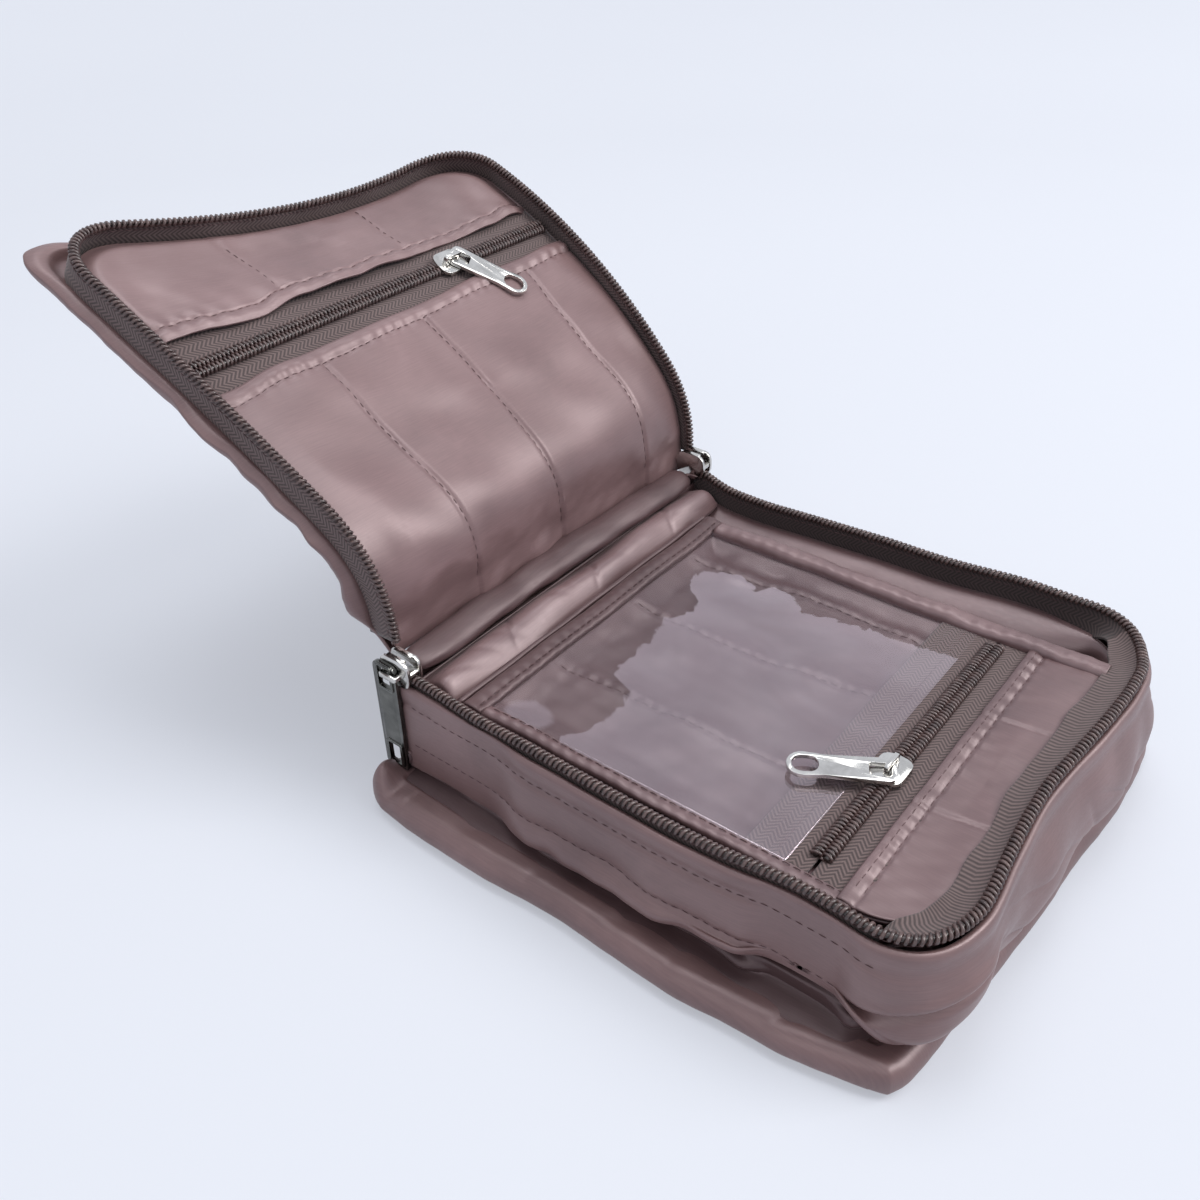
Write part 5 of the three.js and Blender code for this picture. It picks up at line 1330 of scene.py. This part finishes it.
def build_page():
    # The page under the film uses the darker page satin with painted shade
    back = page_sheet("page_back_satin", 3.2, PAGE_LONG, -1.0, 0.6, [SATIN_PAGE_PAINTED_SHADE, THREAD_PALE], relief=page_back_relief, extra=page_back_extra, nu=150, nv=150)
    film = page_sheet("page_film", 6.6, 98.9, 0.62, 0.2, [FILM], relief=film_relief, nu=120, nv=120, front=3.6, rear=5.6)
    # The end strip uses the darker strip satin with painted shade
    strip = page_sheet("page_end_satin", 113.4, PAGE_LONG, 0.5, 0.55, [SATIN_STRIP_PAINTED_SHADE, THREAD_PALE], relief=strip_relief, extra=strip_extra, nu=60, nv=180)
    for piece, slot, old in ((back, "satin_inner", "page_back"), (film, "clear_vinyl", "page_window"), (strip, "satin_inner", "page_end_strip")):
        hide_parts(old)
        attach(piece, "page")
    z = PAGE_Z
    # The spine binding uses the dark binding satin with painted shade
    spine = padded_binding("page_spine_fold", "page_spine_binding", ((PAGE_X + 1.2, PAGE_FRONT, z), (PAGE_X + 1.2, PAGE_REAR, z)), (1, 0, 0), 6.8, [BINDING_PAINTED_SHADE, THREAD], 171, 5.0)
    # The rear binding uses the lighter satin copy with painted light
    padded_binding("page_rear_fold", "page_rear_binding", ((PAGE_X + 8.2, PAGE_REAR, z), (PAGE_X + PAGE_LONG - 2.2, PAGE_REAR, z + 0.5)), (0, -1, 0), 6.4, [SATIN_PAINTED_LIGHT, THREAD], 174, open_end=True, plump=2.6)
    # The front binding uses the darker strip satin with painted shade
    padded_binding("page_front_fold", "page_front_binding", ((PAGE_X + 8.2, PAGE_FRONT, z), (PAGE_X + 116.6, PAGE_FRONT, z)), (0, 1, 0), 4.2, [SATIN_STRIP_PAINTED_SHADE, THREAD], 177, 3.2, plump=1.3)
    line = 104.8
    for side, name, old, reach in ((-1, "page_weave_left", "page_tape_left", 14.0), (1, "page_weave_right", "page_tape_right", 10.6)):
        y = np.linspace(PAGE_FRONT + 1, PAGE_REAR - 1, 150)
        c = np.linspace(0, 1, 22)
        Y, C = np.meshgrid(y, c, indexing="ij")
        X = line + side * (0.5 + C * (reach + 2.6))
        Z = z - 0.25 + 0.22 * waves(X, Y, 24, 181) * C
        skin = Skin()
        P = np.stack([PAGE_X + X, Y, Z], -1)
        skin.layers(P, np.broadcast_to([0, 0, 1.0], P.shape), 0.5, 0.0, uv=np.stack([Y, C * (reach + 2.6)], -1))
        if side < 0:
            yy = np.linspace(PAGE_FRONT + 6, PAGE_REAR - 7, 90)
            skin.stitches(np.stack([PAGE_X + line - 9.5 + 0.2 * waves(yy, 0 * yy, 20, 183, 1), yy, z + 0.3 + 0 * yy], -1), np.array([0, 0, 1.0]), 1, pitch=3.0, length=2.0, radius=0.14, lift=0.06)
        tape = skin.build(name, [TAPE, THREAD])
        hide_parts(old)
        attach(tape, "page")
        skin = Skin()
        flat_coil(skin, PAGE_FRONT + 9.5, PAGE_REAR - 9.5, side, lambda Y, across, up: np.stack(np.broadcast_arrays(PAGE_X + line + across, Y, z + 0.2 + up), -1))
        coil = skin.build(name.replace("weave", "turns"), [COIL, CORE])
        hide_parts(old.replace("tape", "coil"))
        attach(coil, "page")


# Metal: the CAD pieces with their edges rounded
def polished(node_name, body, material, edge, edge_material=None):
    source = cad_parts[node_name]
    mesh = source.data.copy()
    mesh.materials.clear()
    mesh.materials.append(material)
    mesh.materials.append(edge_material or material)
    mesh.polygons.foreach_set("material_index", np.zeros(len(mesh.polygons), np.int32))
    obj = bpy.data.objects.new(node_name + "_metal", mesh)
    bpy.context.scene.collection.objects.link(obj)
    work = bmesh.new()
    work.from_mesh(mesh)
    bmesh.ops.remove_doubles(work, verts=work.verts, dist=1e-6)
    bmesh.ops.dissolve_limit(work, angle_limit=math.radians(1.0), verts=work.verts, edges=work.edges)
    work.to_mesh(mesh)
    work.free()
    mod = obj.modifiers.new("edges", "BEVEL")
    mod.width = edge * MM
    mod.segments = 3
    mod.limit_method = "ANGLE"
    mod.angle_limit = math.radians(28)
    mod.harden_normals = True
    mod.material = 1
    graph = bpy.context.evaluated_depsgraph_get()
    rounded = bpy.data.meshes.new_from_object(obj.evaluated_get(graph), preserve_all_data_layers=True, depsgraph=graph)
    obj.modifiers.clear()
    obj.data = rounded
    rounded.polygons.foreach_set("use_smooth", np.full(len(rounded.polygons), True))
    rounded.set_sharp_from_angle(angle=math.radians(40))
    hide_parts(node_name)
    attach(obj, body)
    return obj


build_page()
for end in ("front", "back"):
    polished(f"{end}_slider", f"{end}_slider_body", NICKEL, 0.2)
    polished(f"{end}_pull", f"{end}_pull_body", GUNMETAL, 0.22, NICKEL)
polished("page_slider", "page_slider_body", NICKEL, 0.2)
polished("page_pull", "page_pull_body", NICKEL, 0.16)
polished("lid_pocket_slider", "pocket_slider_body", NICKEL, 0.2)
polished("lid_pocket_pull", "pocket_pull_body", NICKEL, 0.16)


# Stage: a pale table top that runs out of sight, and soft studio light
def build_stage():
    mat, tree, shader = fresh("table_top")
    place = node(tree, "ShaderNodeTexCoord").outputs["Object"]
    cloudy = noise(tree, place, 1.4, 2.0)
    tone = ramp(tree, cloudy, [(0.3, linear((221, 225, 235))), (0.7, linear((225, 229, 238)))])
    shader.inputs["Roughness"].default_value = 0.9
    shader.inputs["Specular IOR Level"].default_value = 0.15
    away = node(tree, "ShaderNodeVectorMath", [(0, place)], operation="LENGTH").outputs["Value"]
    # Glow of the table for camera, glossy and transmission rays: painted light, weaker near the case and stronger far
    # off
    lift = node(tree, "ShaderNodeMapRange", [(0, away)], in_1=0.7, in_2=3.0, in_3=0.40, in_4=0.78)
    shader.inputs["Emission Color"].default_value = (*linear((236, 240, 249))[:3], 1.0)
    ray = tree.nodes.new("ShaderNodeLightPath")
    seen = math_node(tree, "MAXIMUM", ray.outputs["Is Camera Ray"], math_node(tree, "MAXIMUM", ray.outputs["Is Glossy Ray"], ray.outputs["Is Transmission Ray"]))
    tree.links.new(math_node(tree, "MULTIPLY", lift.outputs[0], seen), shader.inputs["Emission Strength"])
    # What is seen of the table is part glow, painted light that keeps the shadows on it pale, as in a light room
    part = [(0.3, (*(0.58 * c for c in linear((221, 225, 235))[:3]), 1.0)), (0.7, (*(0.58 * c for c in linear((225, 229, 238))[:3]), 1.0))]
    blend = tree.nodes.new("ShaderNodeMix")
    blend.data_type = "RGBA"
    tree.links.new(seen, blend.inputs[0])
    tree.links.new(tone, blend.inputs[6])
    tree.links.new(ramp(tree, cloudy, part), blend.inputs[7])
    tree.links.new(blend.outputs[2], shader.inputs["Base Color"])
    mesh = bpy.data.meshes.new("table_top")
    r = 9.0
    mesh.from_pydata([(-r, -r, 0), (r, -r, 0), (r, r, 0), (-r, r, 0)], [], [(0, 1, 2, 3)])
    mesh.materials.append(mat)
    floor = bpy.data.objects.new("table_top", mesh)
    bpy.context.scene.collection.objects.link(floor)
    world = bpy.context.scene.world or bpy.data.worlds.new("studio")
    bpy.context.scene.world = world
    world.use_nodes = True
    tree = world.node_tree
    tree.nodes.clear()
    out = tree.nodes.new("ShaderNodeOutputWorld")
    back = node(tree, "ShaderNodeBackground", in_0=linear((232, 235, 243)), in_1=0.5)
    shown = node(tree, "ShaderNodeBackground", in_0=linear((236, 240, 249)), in_1=1.0)
    ray = tree.nodes.new("ShaderNodeLightPath")
    seen = math_node(tree, "MAXIMUM", ray.outputs["Is Camera Ray"], math_node(tree, "MAXIMUM", ray.outputs["Is Glossy Ray"], ray.outputs["Is Transmission Ray"]))
    mix = node(tree, "ShaderNodeMixShader", [(0, seen), (1, back.outputs[0]), (2, shown.outputs[0])])
    tree.links.new(mix.outputs[0], out.inputs[0])
    lamps = (
        ("key_softbox", (0.95, 0.7, 1.4), 0.9, 18.0, (1, 0.985, 0.97)),
        ("side_softbox", (0.2, -1.3, 1.3), 1.0, 3.5, (1, 0.99, 0.98)),
        ("sheen_softbox", (1.35, 0.75, 1.0), 0.7, 11.0, (1, 0.985, 0.97)),
        ("top_softbox", (-0.3, 0.3, 1.9), 1.1, 13.5, (0.98, 0.99, 1.0)),
    )
    for name, at, size, power, colour in lamps:
        data = bpy.data.lights.new(name, "AREA")
        data.size = size
        data.energy = power
        data.color = colour
        lamp = bpy.data.objects.new(name, data)
        lamp.visible_diffuse = name != "sheen_softbox"
        bpy.context.scene.collection.objects.link(lamp)
        aim = Vector((-0.03, 0, 0.04)) - Vector(at)
        lamp.matrix_world = Matrix.Translation(Vector(at)) @ aim.to_track_quat("-Z", "Y").to_matrix().to_4x4()


build_stage()
bpy.context.scene.view_settings.view_transform = "Standard"
